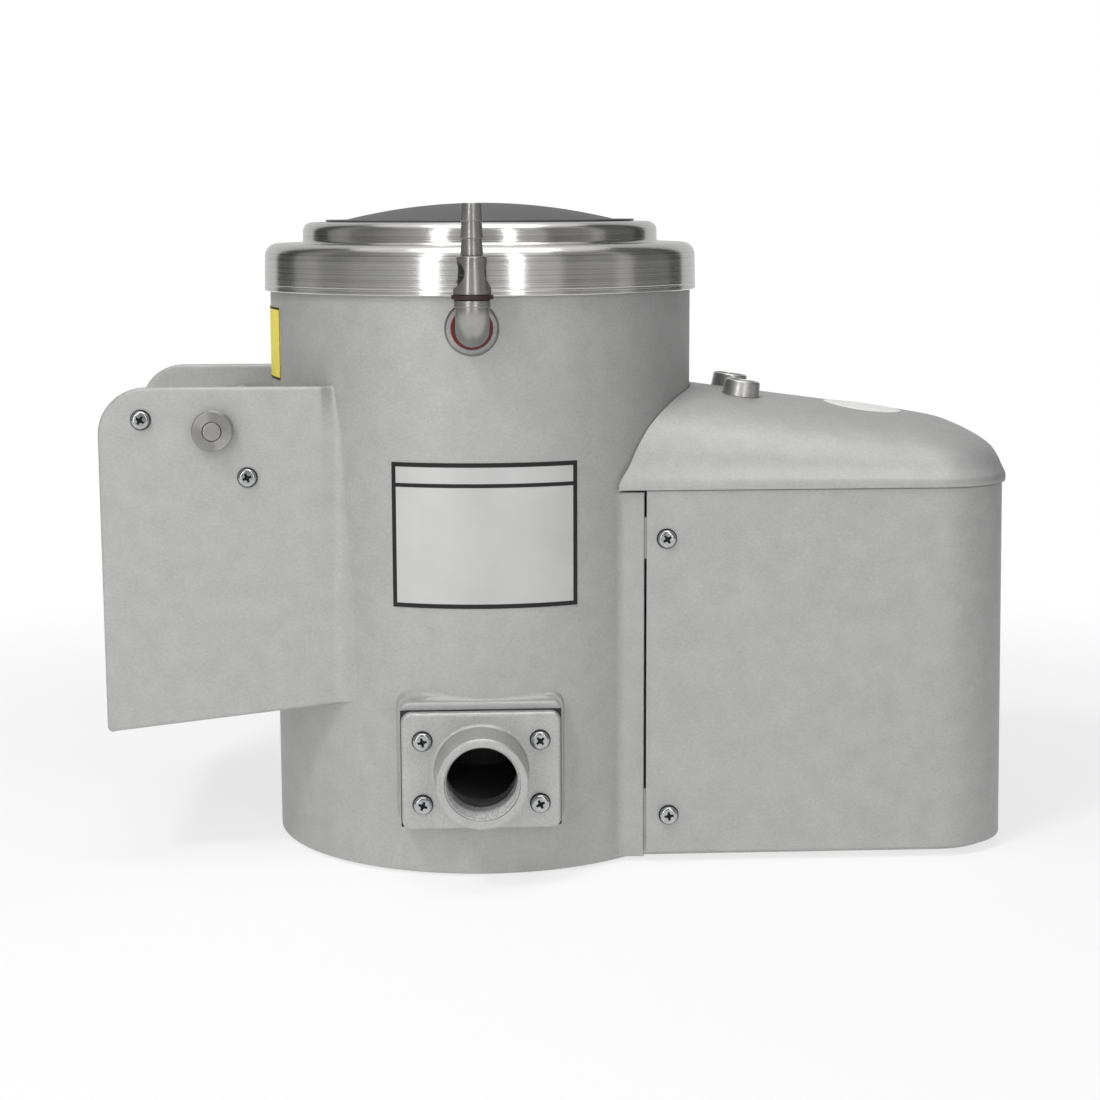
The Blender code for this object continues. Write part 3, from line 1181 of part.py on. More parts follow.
def rubber_lid(shop):
    """The moulded lid: a low dome with a lip on the cover and a plug in its hole."""
    base = SPUN_TOP + GAP
    plug = LID_HOLE_RADIUS - RUBBER_CLEARANCE

    def dome(share, drop):
        rise = RUBBER_LIP + (RUBBER_RISE - RUBBER_LIP) * (1 - share ** 2)
        return RUBBER_DOME_RADIUS * share, base + rise - drop

    profile = [dome(share, 0) for share in RUBBER_DOME_SHARES]
    profile += [(RUBBER_RADIUS, base + RUBBER_LIP), (RUBBER_RADIUS, base), (plug, base),
                (plug, base - RUBBER_PLUG), (plug - RUBBER_WALL, base - RUBBER_PLUG)]
    profile += [dome(share, RUBBER_WALL) for share in reversed(RUBBER_DOME_SHARES[:-1])]
    shop.turned("rubber_lid", profile, grey_rubber(), SPUN_STEPS)


def door(shop):
    """The curved door on its two arms, with shaft, collar, lever and stops."""
    reach = math.degrees(math.asin(DOOR_HALF_WIDTH / (DOOR_INNER + DOOR_SHEET)))
    steps = 4 * ARC_STEPS
    outline = arc((0, 0), DOOR_INNER, 180 - reach, 180 + reach, steps)
    outline += arc((0, 0), DOOR_INNER + DOOR_SHEET, 180 + reach, 180 - reach, steps)
    panel = shop.prism("door_panel", outline, DOOR_FOOT, DOOR_TOP, cast_aluminium())
    edge = -math.sqrt((DOOR_INNER + GAP) ** 2 - ARM_INNER ** 2)
    shape = arm_outline(edge)
    for name, low, high in (("near_arm", -ARM_OUTER, -ARM_INNER),
                            ("far_arm", ARM_INNER, ARM_OUTER)):
        fuse(panel, shop.side_prism(name, shape, low, high))
    bore = SHAFT_RADIUS + GAP
    where = {"location": (DOOR_AXIS_X, 0, DOOR_AXIS_Z), "rotation": TOWARDS_FRONT}
    cut(panel, shop.rod("arm_bore", bore, -DRUM_RADIUS, DRUM_RADIUS, **where))
    collar_seat = CHEEK_HALF_SPAN + GAP
    shop.rod("door_shaft", SHAFT_RADIUS, -LEVER_HUB_END, collar_seat + COLLAR_LENGTH,
             stainless(), **where)
    shop.ring("door_collar", COLLAR_RADIUS, bore, collar_seat, collar_seat + COLLAR_LENGTH,
              stainless(), FINE_STEPS, **where)
    lever = shop.ring("door_lever", LEVER_HUB_RADIUS, bore, -LEVER_HUB_END, -LEVER_HUB_START,
                      stainless(), **where)
    hub_y = (LEVER_HUB_START + LEVER_HUB_END) / 2
    root = DOOR_AXIS_Z - LEVER_HUB_RADIUS + 2 * BLEND_IN
    rod_end = KNOB_Z + KNOB_RADIUS - KNOB_SOCKET
    route = [(DOOR_AXIS_X, hub_y, root), (DOOR_AXIS_X, hub_y, root - LEVER_NECK),
             (DOOR_AXIS_X, KNOB_Y, rod_end + LEVER_NECK), (DOOR_AXIS_X, KNOB_Y, rod_end)]
    fuse(lever, shop.tube("lever_rod", route, LEVER_ROD_RADIUS))
    ball = arc((0, KNOB_Z), KNOB_RADIUS, 90, -90, CORNER_STEPS)
    ball = [(abs(x) if 0 < i < len(ball) - 1 else 0, z) for i, (x, z) in enumerate(ball)]
    knob = shop.turned("lever_knob", ball, black_plastic(),
                       location=(DOOR_AXIS_X, KNOB_Y, 0))
    cut(knob, shop.rod("knob_socket", LEVER_ROD_RADIUS + GAP, rod_end - GAP,
                       KNOB_Z + KNOB_RADIUS + OVERRUN, location=(DOOR_AXIS_X, KNOB_Y, 0)))
    for (x, z), name in zip(stop_places(), ("closed", "open")):
        spot = {"location": (x, 0, z), "rotation": TOWARDS_FRONT}
        shop.ring(f"{name}_stop", STOP_RADIUS, SCREW_RADIUS + GAP, ARM_INNER - STOP_LAP,
                  CHEEK_INNER - GAP, stainless(), SCREW_STEPS, **spot)
        pan_screw(shop, f"{name}_stop_screw", CHEEK_HALF_SPAN + GAP,
                  CHEEK_HALF_SPAN + GAP - ARM_INNER, x, z, TOWARDS_FRONT)


def arm_outline(edge):
    """Side view of a door arm, from the hub round the closed stop down to the panel."""
    x, z = DOOR_AXIS_X, DOOR_AXIS_Z
    trailing = x + CLOSED_STOP[0] - STOP_RADIUS - GAP
    leading = x - ARM_LEAD
    hub = arc((x, z), ARM_HUB_RADIUS, 10, 170, 4 * ARC_STEPS)
    left = [(leading, z + CLOSED_STOP[1]), (leading, DOOR_TOP - ARM_SHOULDER),
            (edge - ARM_WAIST, (DOOR_TOP + DOOR_FOOT) / 2), (edge - ARM_TOE, DOOR_FOOT)]
    right = [(edge, DOOR_FOOT), (edge, DOOR_TOP), (trailing, DOOR_TOP + ARM_SHOULDER),
             (trailing, z + CLOSED_STOP[1] / 2)]
    return hub + left + right


def bearing_housing(shop):
    """The flanged housing under the floor, its bearings, seal and bolts."""
    seat = BEARING_RADIUS + GAP
    flange_top = HOUSING_FOOT + HOUSING_FLANGE_THICKNESS
    lower_top = LOWER_BEARING_FOOT + BEARING_WIDTH + GAP
    upper_foot = UPPER_BEARING_FOOT - GAP
    profile = [(HOUSING_TUBE, HOUSING_TOP), (HOUSING_TUBE, flange_top),
               (HOUSING_FLANGE, flange_top), (HOUSING_FLANGE, HOUSING_FOOT),
               (seat, HOUSING_FOOT), (seat, lower_top), (BEARING_LAND, lower_top),
               (BEARING_LAND, upper_foot), (seat, upper_foot), (seat, HOUSING_TOP)]
    housing = shop.turned("bearing_housing", profile, cast_aluminium(), FINE_STEPS, closed=True)
    for i, (x, y) in enumerate(housing_bolt_places()):
        cut(housing, upright_hole(shop, f"flange_hole_{i}", SCREW_RADIUS + GAP,
                                  HOUSING_FOOT - OVERRUN, flange_top + OVERRUN, x, y,
                                  SCREW_STEPS))
        hex_bolt(shop, f"housing_bolt_{i + 1}", HOUSING_FOOT - GAP, HOUSING_TAP_TOP - HOUSING_FOOT
                 - GAP, x, y, False)
    bore = SPINDLE_RADIUS + GAP
    for name, foot in (("lower_bearing", LOWER_BEARING_FOOT),
                       ("upper_bearing", UPPER_BEARING_FOOT)):
        shop.ring(name, BEARING_RADIUS, bore, foot, foot + BEARING_WIDTH, zinc_steel(),
                  FINE_STEPS)
    shop.ring("spindle_seal", BEARING_RADIUS, bore, SEAL_FOOT, HOUSING_TOP, black_rubber(),
              FINE_STEPS)


def spindle(shop):
    """The upright spindle, with a retaining collar below and a square tang on top."""
    profile = [(0, TANG_FOOT), (SPINDLE_RADIUS, TANG_FOOT), (SPINDLE_RADIUS, PULLEY_FOOT - GAP),
               (SPINDLE_COLLAR, PULLEY_FOOT - GAP), (SPINDLE_COLLAR, SPINDLE_FOOT),
               (0, SPINDLE_FOOT)]
    item = shop.turned("spindle", profile, stainless())
    half = TANG_WIDTH / 2
    fuse(item, shop.box("tang", (-half, -half, TANG_FOOT - BLEND_IN),
                        (half, half, TANG_FOOT + TANG_LENGTH)))


def rotor_plate(shop):
    """The gritted plate: a disc with three waves on top, and vanes and a hub below."""
    top = ROTOR_UNDERSIDE + ROTOR_THICKNESS
    turns = [math.tau * i / ROTOR_STEPS for i in range(ROTOR_STEPS)]
    rings = []
    for radius_share, lift_share in zip(ROTOR_RADIUS_SHARES, ROTOR_LIFT_SHARES):
        radius = ROTOR_RADIUS * radius_share
        lift = ROTOR_WAVE * lift_share / 2
        rings.append([(radius * math.cos(t), radius * math.sin(t),
                       top + lift * (1 + math.cos(ROTOR_WAVES * t))) for t in turns])
    rings.append([(ROTOR_RADIUS * math.cos(t), ROTOR_RADIUS * math.sin(t), top - ROTOR_RIM_DROP)
                  for t in turns])
    rings.append([(ROTOR_RADIUS * math.cos(t), ROTOR_RADIUS * math.sin(t), ROTOR_UNDERSIDE)
                  for t in turns])
    plate = shop.loft("rotor_plate", rings, grit())
    fuse(plate, shop.rod("rotor_hub", ROTOR_HUB_RADIUS, ROTOR_HUB_FOOT,
                         ROTOR_UNDERSIDE + BLEND_IN))
    half = VANE_THICKNESS / 2
    for i in range(ROTOR_WAVES):
        fuse(plate, shop.box(f"vane_{i}", (ROTOR_RADIUS - VANE_LENGTH - VANE_SETBACK, -half,
                                           ROTOR_UNDERSIDE - VANE_DEPTH),
                             (ROTOR_RADIUS - VANE_SETBACK, half, ROTOR_UNDERSIDE + BLEND_IN),
                             rotation=(0, 0, math.tau * i / ROTOR_WAVES)))
    socket = TANG_WIDTH / 2 + GAP
    cut(plate, shop.box("tang_socket", (-socket, -socket, ROTOR_HUB_FOOT - OVERRUN),
                        (socket, socket, TANG_FOOT + TANG_LENGTH + GAP)))


def groove(radius):
    """The V groove of a pulley, listed down its outer side."""
    middle = PULLEY_FOOT + PULLEY_WIDTH / 2
    flare = (BELT_TOP_WIDTH - BELT_BASE_WIDTH) / 2 / BELT_DEPTH
    mouth = BELT_TOP_WIDTH / 2 + BELT_CLEARANCE
    depth = BELT_DEPTH + GROOVE_RELIEF
    floor = mouth - depth * flare
    return [(radius, middle + mouth), (radius - depth, middle + floor),
            (radius - depth, middle - floor), (radius, middle - mouth)]


def pulleys(shop):
    low, high = PULLEY_FOOT, PULLEY_FOOT + PULLEY_WIDTH
    middle = (low + high) / 2
    web = (middle - PULLEY_WEB / 2, middle + PULLEY_WEB / 2)
    rim = DRIVEN_PULLEY_RADIUS - PULLEY_RIM
    bore = SPINDLE_RADIUS + GAP
    hub_top = HOUSING_FOOT - HUB_CLEARANCE
    outside = [(DRIVEN_PULLEY_RADIUS, high)] + groove(DRIVEN_PULLEY_RADIUS)
    outside += [(DRIVEN_PULLEY_RADIUS, low), (rim, low), (rim, web[0]),
                (PULLEY_HUB_RADIUS, web[0]), (PULLEY_HUB_RADIUS, low), (bore, low),
                (bore, hub_top), (PULLEY_HUB_RADIUS, hub_top), (PULLEY_HUB_RADIUS, web[1]),
                (rim, web[1]), (rim, high)]
    shop.turned("driven_pulley", outside, cast_aluminium(), PULLEY_STEPS, closed=True)
    bore = MOTOR_SHAFT_RADIUS + GAP
    hub_top = high + MOTOR_PULLEY_HUB_LENGTH
    outside = [(MOTOR_PULLEY_HUB_RADIUS, hub_top), (MOTOR_PULLEY_HUB_RADIUS, high),
               (MOTOR_PULLEY_RADIUS, high)]
    outside += groove(MOTOR_PULLEY_RADIUS)
    outside += [(MOTOR_PULLEY_RADIUS, low), (bore, low), (bore, hub_top)]
    shop.turned("motor_pulley", outside, cast_aluminium(), closed=True,
                location=(MOTOR_X, 0, 0))


def drive_belt(shop):
    """The V belt, lofted round both pulleys and along its two straight runs."""
    lean = math.acos((DRIVEN_PULLEY_RADIUS - MOTOR_PULLEY_RADIUS) / MOTOR_X)
    middle = PULLEY_FOOT + PULLEY_WIDTH / 2

    def section(centre_x, radius, turn):
        rows = ((radius - BELT_DEPTH, -BELT_BASE_WIDTH / 2), (radius, -BELT_TOP_WIDTH / 2),
                (radius, BELT_TOP_WIDTH / 2), (radius - BELT_DEPTH, BELT_BASE_WIDTH / 2))
        return [(centre_x + r * math.cos(turn), r * math.sin(turn), middle + z) for r, z in rows]

    sweep = math.tau - 2 * lean
    rings = [section(0, DRIVEN_PULLEY_RADIUS, lean + sweep * i / BELT_STEPS)
             for i in range(BELT_STEPS + 1)]
    small = BELT_STEPS // 2
    rings += [section(MOTOR_X, MOTOR_PULLEY_RADIUS, -lean + 2 * lean * i / small)
              for i in range(small + 1)]
    shop.loft("drive_belt", rings + rings[:1], black_rubber(), capped=False)


def weld(item):
    """Closes a loft whose last ring lies on its first."""
    body = bmesh.new()
    body.from_mesh(item.data)
    bmesh.ops.remove_doubles(body, verts=body.verts, dist=MERGE_LIMIT)
    bmesh.ops.recalc_face_normals(body, faces=body.faces)
    body.to_mesh(item.data)
    body.free()


def motor(shop):
    """The flanged motor on the shelf, its shaft, fan, cowl and bolts."""
    foot = SHELF_TOP + GAP
    flange_top = foot + MOTOR_FLANGE_THICKNESS
    half = MOTOR_FLANGE / 2
    outline = rounded_box(MOTOR_X - half, -half, MOTOR_X + half, half, MOTOR_FLANGE_CORNER)
    frame = shop.prism("motor_frame", outline, foot, flange_top, motor_paint())
    fins = []
    for i in range(MOTOR_FINS):
        for share, radius in zip(FIN_SHARES, (MOTOR_RADIUS - MOTOR_FIN, MOTOR_RADIUS,
                                              MOTOR_RADIUS, MOTOR_RADIUS - MOTOR_FIN)):
            turn = math.tau * (i + share) / MOTOR_FINS
            fins.append((MOTOR_X + radius * math.cos(turn), radius * math.sin(turn)))
    fuse(frame, shop.prism("finned_barrel", fins, flange_top - BLEND_IN, MOTOR_TOP))
    cut(frame, shop.rod("motor_bore", MOTOR_SHAFT_RADIUS + MOTOR_BORE_CLEARANCE, foot - OVERRUN,
                        MOTOR_TOP + OVERRUN, location=(MOTOR_X, 0, 0),
                        rotation=(0, 0, math.pi / ROUND_STEPS)))
    for i, (x, y) in enumerate(motor_bolt_places()):
        cut(frame, upright_hole(shop, f"frame_hole_{i}", SCREW_RADIUS + GAP, foot - OVERRUN,
                                flange_top + OVERRUN, x, y, SCREW_STEPS))
        hex_bolt(shop, f"motor_bolt_{i + 1}", flange_top + GAP, flange_top - SHELF_UNDERSIDE,
                 x, y, True)
    low, high = MOTOR_TOP + GAP, MOTOR_TOP + GAP + COWL_HEIGHT
    outer, inner = MOTOR_RADIUS, MOTOR_RADIUS - COWL_WALL
    profile = [(COWL_VENT, high), (outer - COWL_WALL, high), (outer, high - COWL_WALL),
               (outer, low), (inner, low), (inner, high - COWL_WALL),
               (COWL_VENT, high - COWL_WALL)]
    shop.turned("fan_cowl", profile, motor_paint(), FINE_STEPS, closed=True,
                location=(MOTOR_X, 0, 0))
    axis = {"location": (MOTOR_X, 0, 0)}
    fan_top = FAN_FOOT + FAN_DISC + FAN_BLADE_HEIGHT
    shop.rod("motor_shaft", MOTOR_SHAFT_RADIUS, MOTOR_SHAFT_FOOT, fan_top, zinc_steel(), **axis)
    bore = MOTOR_SHAFT_RADIUS + GAP
    fan = shop.turned("motor_fan", [(FAN_HUB, fan_top), (FAN_HUB, FAN_FOOT + FAN_DISC),
                                    (FAN_RADIUS, FAN_FOOT + FAN_DISC), (FAN_RADIUS, FAN_FOOT),
                                    (bore, FAN_FOOT), (bore, fan_top)],
                      black_plastic(), closed=True, **axis)
    for i in range(FAN_BLADES):
        fuse(fan, shop.box(f"blade_{i}", (FAN_HUB - BLEND_IN, -FAN_BLADE_WIDTH / 2, FAN_FOOT
                                          + FAN_DISC - BLEND_IN),
                           (FAN_RADIUS - BLEND_IN, FAN_BLADE_WIDTH / 2, fan_top - BLEND_IN),
                           rotation=(0, 0, math.tau * (i + 0.5) / FAN_BLADES), **axis))


def settle(shop):
    """Turns each piece into a plain mesh, its modifiers applied, and smooths its round faces."""
    graph = bpy.context.evaluated_depsgraph_get()
    ready = []
    for item in shop.parts.objects:
        if item.type == "MESH":
            ready.append((item, bpy.data.meshes.new_from_object(item.evaluated_get(graph))))
    for item, mesh in ready:
        item.modifiers.clear()
        item.data = mesh
        mesh.name = item.name
        mesh.shade_smooth()
        mesh.set_sharp_from_angle(angle=SHARP_ANGLE)


def move_origin(item, point):
    """Puts an object's origin at a point of the machine frame and leaves its shape in place."""
    local = item.matrix_local.inverted() @ Vector(point)
    item.data.transform(Matrix.Translation(-local))
    item.location = item.matrix_local @ local


def gather(shop, name, point, parts, rotation=(0, 0, 0)):
    """Parents moving pieces to an empty on their joint's axis."""
    axis = shop.add_frame(name, point, shop.machine)
    axis.rotation_euler = rotation
    bpy.context.view_layer.update()
    for part in parts:
        item = bpy.data.objects[part]
        world = item.matrix_world.copy()
        item.parent = axis
        item.matrix_parent_inverse = axis.matrix_world.inverted()
        item.matrix_world = world
    return axis


def main():
    clear_scene()
    shop = Workshop()
    body_casting(shop)
    underside_plate(shop)
    rubber_feet(shop)
    drain(shop)
    water_inlet(shop)
    motor_cover(shop)
    control_cover(shop)
    push_button(shop, "start", -BUTTON_Y, button_plastic("start_button", (0.02, 0.20, 0.06)))
    push_button(shop, "stop", BUTTON_Y, button_plastic("stop_button", (0.30, 0.02, 0.02)))
    cable_gland(shop)
    top_cover(shop)
    rubber_lid(shop)
    door(shop)
    bearing_housing(shop)
    spindle(shop)
    rotor_plate(shop)
    pulleys(shop)
    drive_belt(shop)
    weld(bpy.data.objects["drive_belt"])
    motor(shop)
    bpy.context.view_layer.update()
    settle(shop)
    bpy.context.view_layer.update()
    move_origin(bpy.data.objects["door_panel"], (DOOR_AXIS_X, 0, DOOR_AXIS_Z))
    bpy.context.view_layer.update()
    gather(shop, "spindle_axis", (0, 0, 0), ("spindle", "driven_pulley", "rotor_plate"))
    gather(shop, "motor_axis", (MOTOR_X, 0, 0), ("motor_shaft", "motor_pulley", "motor_fan"))
    gather(shop, "door_axis", (DOOR_AXIS_X, 0, DOOR_AXIS_Z),
           ("door_panel", "door_shaft", "door_collar", "door_lever", "lever_knob"))


main()
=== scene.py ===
from math import asin, atan, atan2, cos, dist, hypot, pi, radians, sin, sqrt, tan, tau

import bmesh
import bpy
from mathutils import Matrix, Vector
from mathutils.bvhtree import BVHTree


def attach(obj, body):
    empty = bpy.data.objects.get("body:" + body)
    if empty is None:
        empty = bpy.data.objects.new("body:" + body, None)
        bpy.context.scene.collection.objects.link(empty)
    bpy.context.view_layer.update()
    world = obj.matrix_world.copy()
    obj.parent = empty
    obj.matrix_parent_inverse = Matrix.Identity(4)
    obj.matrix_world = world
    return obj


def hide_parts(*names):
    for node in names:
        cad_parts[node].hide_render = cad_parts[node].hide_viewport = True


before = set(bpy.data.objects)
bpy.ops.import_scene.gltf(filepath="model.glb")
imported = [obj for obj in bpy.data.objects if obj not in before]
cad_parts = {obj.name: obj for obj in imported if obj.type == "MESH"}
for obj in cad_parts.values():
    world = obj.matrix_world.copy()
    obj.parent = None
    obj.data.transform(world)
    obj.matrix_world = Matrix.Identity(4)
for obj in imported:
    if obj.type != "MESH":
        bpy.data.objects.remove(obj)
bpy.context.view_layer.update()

drumHome = Vector((-0.05275, 0.013175, 0.002))  # foot of the drum's axis
sharpEdge = radians(34)  # edges that bend more than this stay sharp
gap = 0.0003  # clearance between two fitted pieces
uprightAxis = Matrix.Identity(4)


class settings(dict):  # a dictionary whose entries also read as names
    __getattr__ = dict.__getitem__


def movedTo(x, y, z):
    return Matrix.Translation((x, y, z))


def turnedBy(degrees, axis):
    return Matrix.Rotation(radians(degrees), 4, axis)


def facing(x, z, back=False):  # a frame whose Z points at the front, or at the back
    return movedTo(x, 0, z) @ turnedBy(-90 if back else 90, "X")


# Mesh helpers, all in metres from the foot of the drum's axis

def softened(corners, steps=6, closed=True):  # each corner is x, y and the radius that rounds it
    points = []
    last = len(corners) - 1
    for i, (x, y, radius) in enumerate(corners):
        if radius <= 0 or (not closed and i in (0, last)):
            points.append((x, y))
            continue
        here = Vector((x, y))
        before = Vector(corners[i - 1][:2]) - here
        after = Vector(corners[i + 1 if i < last else 0][:2]) - here
        a, b = before.normalized(), after.normalized()
        half = a.angle(b) / 2
        run = min(radius / tan(half), before.length * 0.48, after.length * 0.48)
        radius = run * tan(half)
        centre = here + (a + b).normalized() * radius / sin(half)
        first, final = here + a * run - centre, here + b * run - centre
        sweep = (pi - 2 * half) * (1 if first.x * final.y - first.y * final.x > 0 else -1)
        start = atan2(first.y, first.x)
        if run * 1.35 < before.length * 0.5:
            points.append(tuple(here + a * run * 1.35))  # holds the flat beside the round
        for step in range(steps + 1):
            turn = start + sweep * step / steps
            points.append((centre.x + radius * cos(turn), centre.y + radius * sin(turn)))
        if run * 1.35 < after.length * 0.5:
            points.append(tuple(here + b * run * 1.35))
    return points


def meshFrom(body, recalc=True):
    if recalc:
        bmesh.ops.recalc_face_normals(body, faces=body.faces)
    mesh = bpy.data.meshes.new("work")
    body.to_mesh(mesh)
    body.free()
    return mesh


def lathe(profile, steps=96, closed=False, axis=uprightAxis):  # profile of radius and height
    body = bmesh.new()
    layer = body.loops.layers.uv.new("UVMap")
    rows, runs, run = [], [], 0.0
    for i, (radius, height) in enumerate(profile):
        if i:
            run += dist(profile[i - 1], profile[i])
        runs.append(run)
        turns = [tau * k / steps for k in range(steps)] if radius > 1e-7 else [0.0]
        rows.append([body.verts.new((radius * cos(t), radius * sin(t), height)) for t in turns])
    pairs = [(i, i + 1) for i in range(len(rows) - 1)]
    if closed:
        pairs.append((len(rows) - 1, 0))
        runs.append(run + dist(profile[-1], profile[0]))
    for a, b in pairs:
        far = runs[b] if b else runs[-1]
        for k in range(steps):
            corners = []
            for row, u, v in ((a, k, runs[a]), (a, k + 1, runs[a]), (b, k + 1, far), (b, k, far)):
                vert = rows[row][u % steps] if len(rows[row]) > 1 else rows[row][0]
                if not corners or vert is not corners[-1][0]:
                    corners.append((vert, u / steps, v))
            if corners[0][0] is corners[-1][0]:
                corners.pop()
            if len(corners) < 3:
                continue
            face = body.faces.new([vert for vert, u, v in corners])
            for loop, (vert, u, v) in zip(face.loops, corners):
                loop[layer].uv = (u, v)
    body.transform(axis)
    return meshFrom(body)


def rod(radius, low, high, steps, axis=uprightAxis):
    return lathe([(0, low), (radius, low), (radius, high), (0, high)], steps, axis=axis)


def loft(rings, closed=True, capped=True):  # closed rings, or open rows when closed is off
    body = bmesh.new()
    rows = [[body.verts.new(point) for point in ring] for ring in rings]
    count = len(rows[0])
    for lower, upper in zip(rows, rows[1:]):
        for i in range(count if closed else count - 1):
            j = (i + 1) % count
            body.faces.new((lower[i], lower[j], upper[j], upper[i]))
    if capped:
        body.faces.new(rows[0][::-1])
        body.faces.new(rows[-1])
    return meshFrom(body)


def outlineNormals(outline, closed=True):
    normals = []
    last = len(outline) - 1
    for i in range(last + 1):
        x0, y0 = outline[i - 1 if closed else max(i - 1, 0)]
        x1, y1 = outline[(i + 1) % (last + 1) if closed else min(i + 1, last)]
        length = hypot(x1 - x0, y1 - y0) or 1.0
        normals.append(((y1 - y0) / length, (x0 - x1) / length))
    return normals


def slab(outline, low, high, lowRound=0.0001, highRound=0.0001, steps=1, axis=uprightAxis):
    normals = outlineNormals(outline)  # the outline runs anticlockwise

    def row(inset, height):
        return [(x - nx * inset, y - ny * inset, height) for (x, y), (nx, ny) in zip(outline, normals)]

    turns = [pi / 2 * step / steps for step in range(steps + 1)]
    rings = [row(lowRound * 1.4, low)]
    rings += [row(lowRound * (1 - sin(t)), low + lowRound * (1 - cos(t))) for t in turns]
    rings += [row(highRound * (1 - cos(t)), high - highRound * (1 - sin(t))) for t in turns]
    rings.append(row(highRound * 1.4, high))
    mesh = loft(rings)
    mesh.transform(axis)
    return mesh


def legOf(long, short):  # the other leg of a right triangle
    return sqrt(max(long * long - short * short, 0.0))


def boxOutline(lowX, lowY, highX, highY, radius, steps=6):
    return softened([(lowX, lowY, radius), (highX, lowY, radius), (highX, highY, radius),
        (lowX, highY, radius)], steps)


def tube(path, radius, steps=24):  # a rod along points in one plane, square to the X axis
    rings = []
    across = Vector((1, 0, 0))
    turns = [tau * k / steps for k in range(steps)]
    for i, point in enumerate(path):
        ahead = Vector(path[min(i + 1, len(path) - 1)]) - Vector(path[max(i - 1, 0)])
        up = ahead.normalized().cross(across)
        rings.append([Vector(point) + across * radius * cos(t) + up * radius * sin(t) for t in turns])
    return loft(rings)


def joined(*meshes):
    body = bmesh.new()
    for mesh in meshes:
        body.from_mesh(mesh)
    return meshFrom(body, False)


def shown(name, data):
    item = bpy.data.objects.new(name, data)
    bpy.context.scene.collection.objects.link(item)
    return item


def evaluated(item):  # the plain mesh that an object's modifiers make; the object goes
    graph = bpy.context.evaluated_depsgraph_get()
    mesh = bpy.data.meshes.new_from_object(item.evaluated_get(graph))
    bpy.data.objects.remove(item, do_unlink=True)
    return mesh


def solved(mesh, tools, solver="EXACT"):  # the mesh less its tools
    target = shown("work", mesh)
    helpers = [shown("tool", tool) for tool in tools]
    for helper in helpers:
        step = target.modifiers.new("solve", "BOOLEAN")
        step.operation, step.solver, step.object = "DIFFERENCE", solver, helper
    result = evaluated(target)
    for helper in helpers:
        bpy.data.objects.remove(helper, do_unlink=True)
    return result


def place(name, mesh, finish, *stands, body="machine"):
    mesh.transform(Matrix.Translation(drumHome))
    mesh.name = name
    layers = finish if isinstance(finish, list) else [finish]
    if len(layers) == 1:
        mesh.materials.clear()
    for layer in layers[len(mesh.materials):]:
        mesh.materials.append(layer)
    mesh.polygons.foreach_set("use_smooth", [True] * len(mesh.polygons))
    mesh.set_sharp_from_angle(angle=sharpEdge)
    piece = shown(name, mesh)
    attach(piece, body)
    if stands:
        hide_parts(*stands)


# Materials

def linear(code):  # an sRGB hex value as linear RGBA
    values = [int(code[i:i + 2], 16) / 255 for i in (1, 3, 5)]
    return [v / 12.92 if v <= 0.04045 else ((v + 0.055) / 1.055) ** 2.4 for v in values] + [1.0]


def adderFor(tree, family):  # the function that adds one node to this tree
    def add(kind, values=None, links=None):  # lower-case values are the node's own, the rest its inputs'
        node = tree.nodes.new(kind if "Node" in kind else family + kind)
        for key, value in (values or {}).items():
            if isinstance(key, str) and key[0].islower():
                setattr(node, key, value)
            else:
                node.inputs[key].default_value = value
        for key, source in (links or {}).items():
            socket = source.outputs[0] if isinstance(source, bpy.types.Node) else source
            tree.links.new(socket, node.inputs[key])
        return node

    return add


def emptied(item):  # the adder of a material or a world whose default nodes are gone
    item.use_nodes = True
    item.node_tree.nodes.clear()
    return adderFor(item.node_tree, "ShaderNode")


def perMetre(millimetres):  # noise scale whose grain is about that size on object coordinates
    return 1000.0 / millimetres


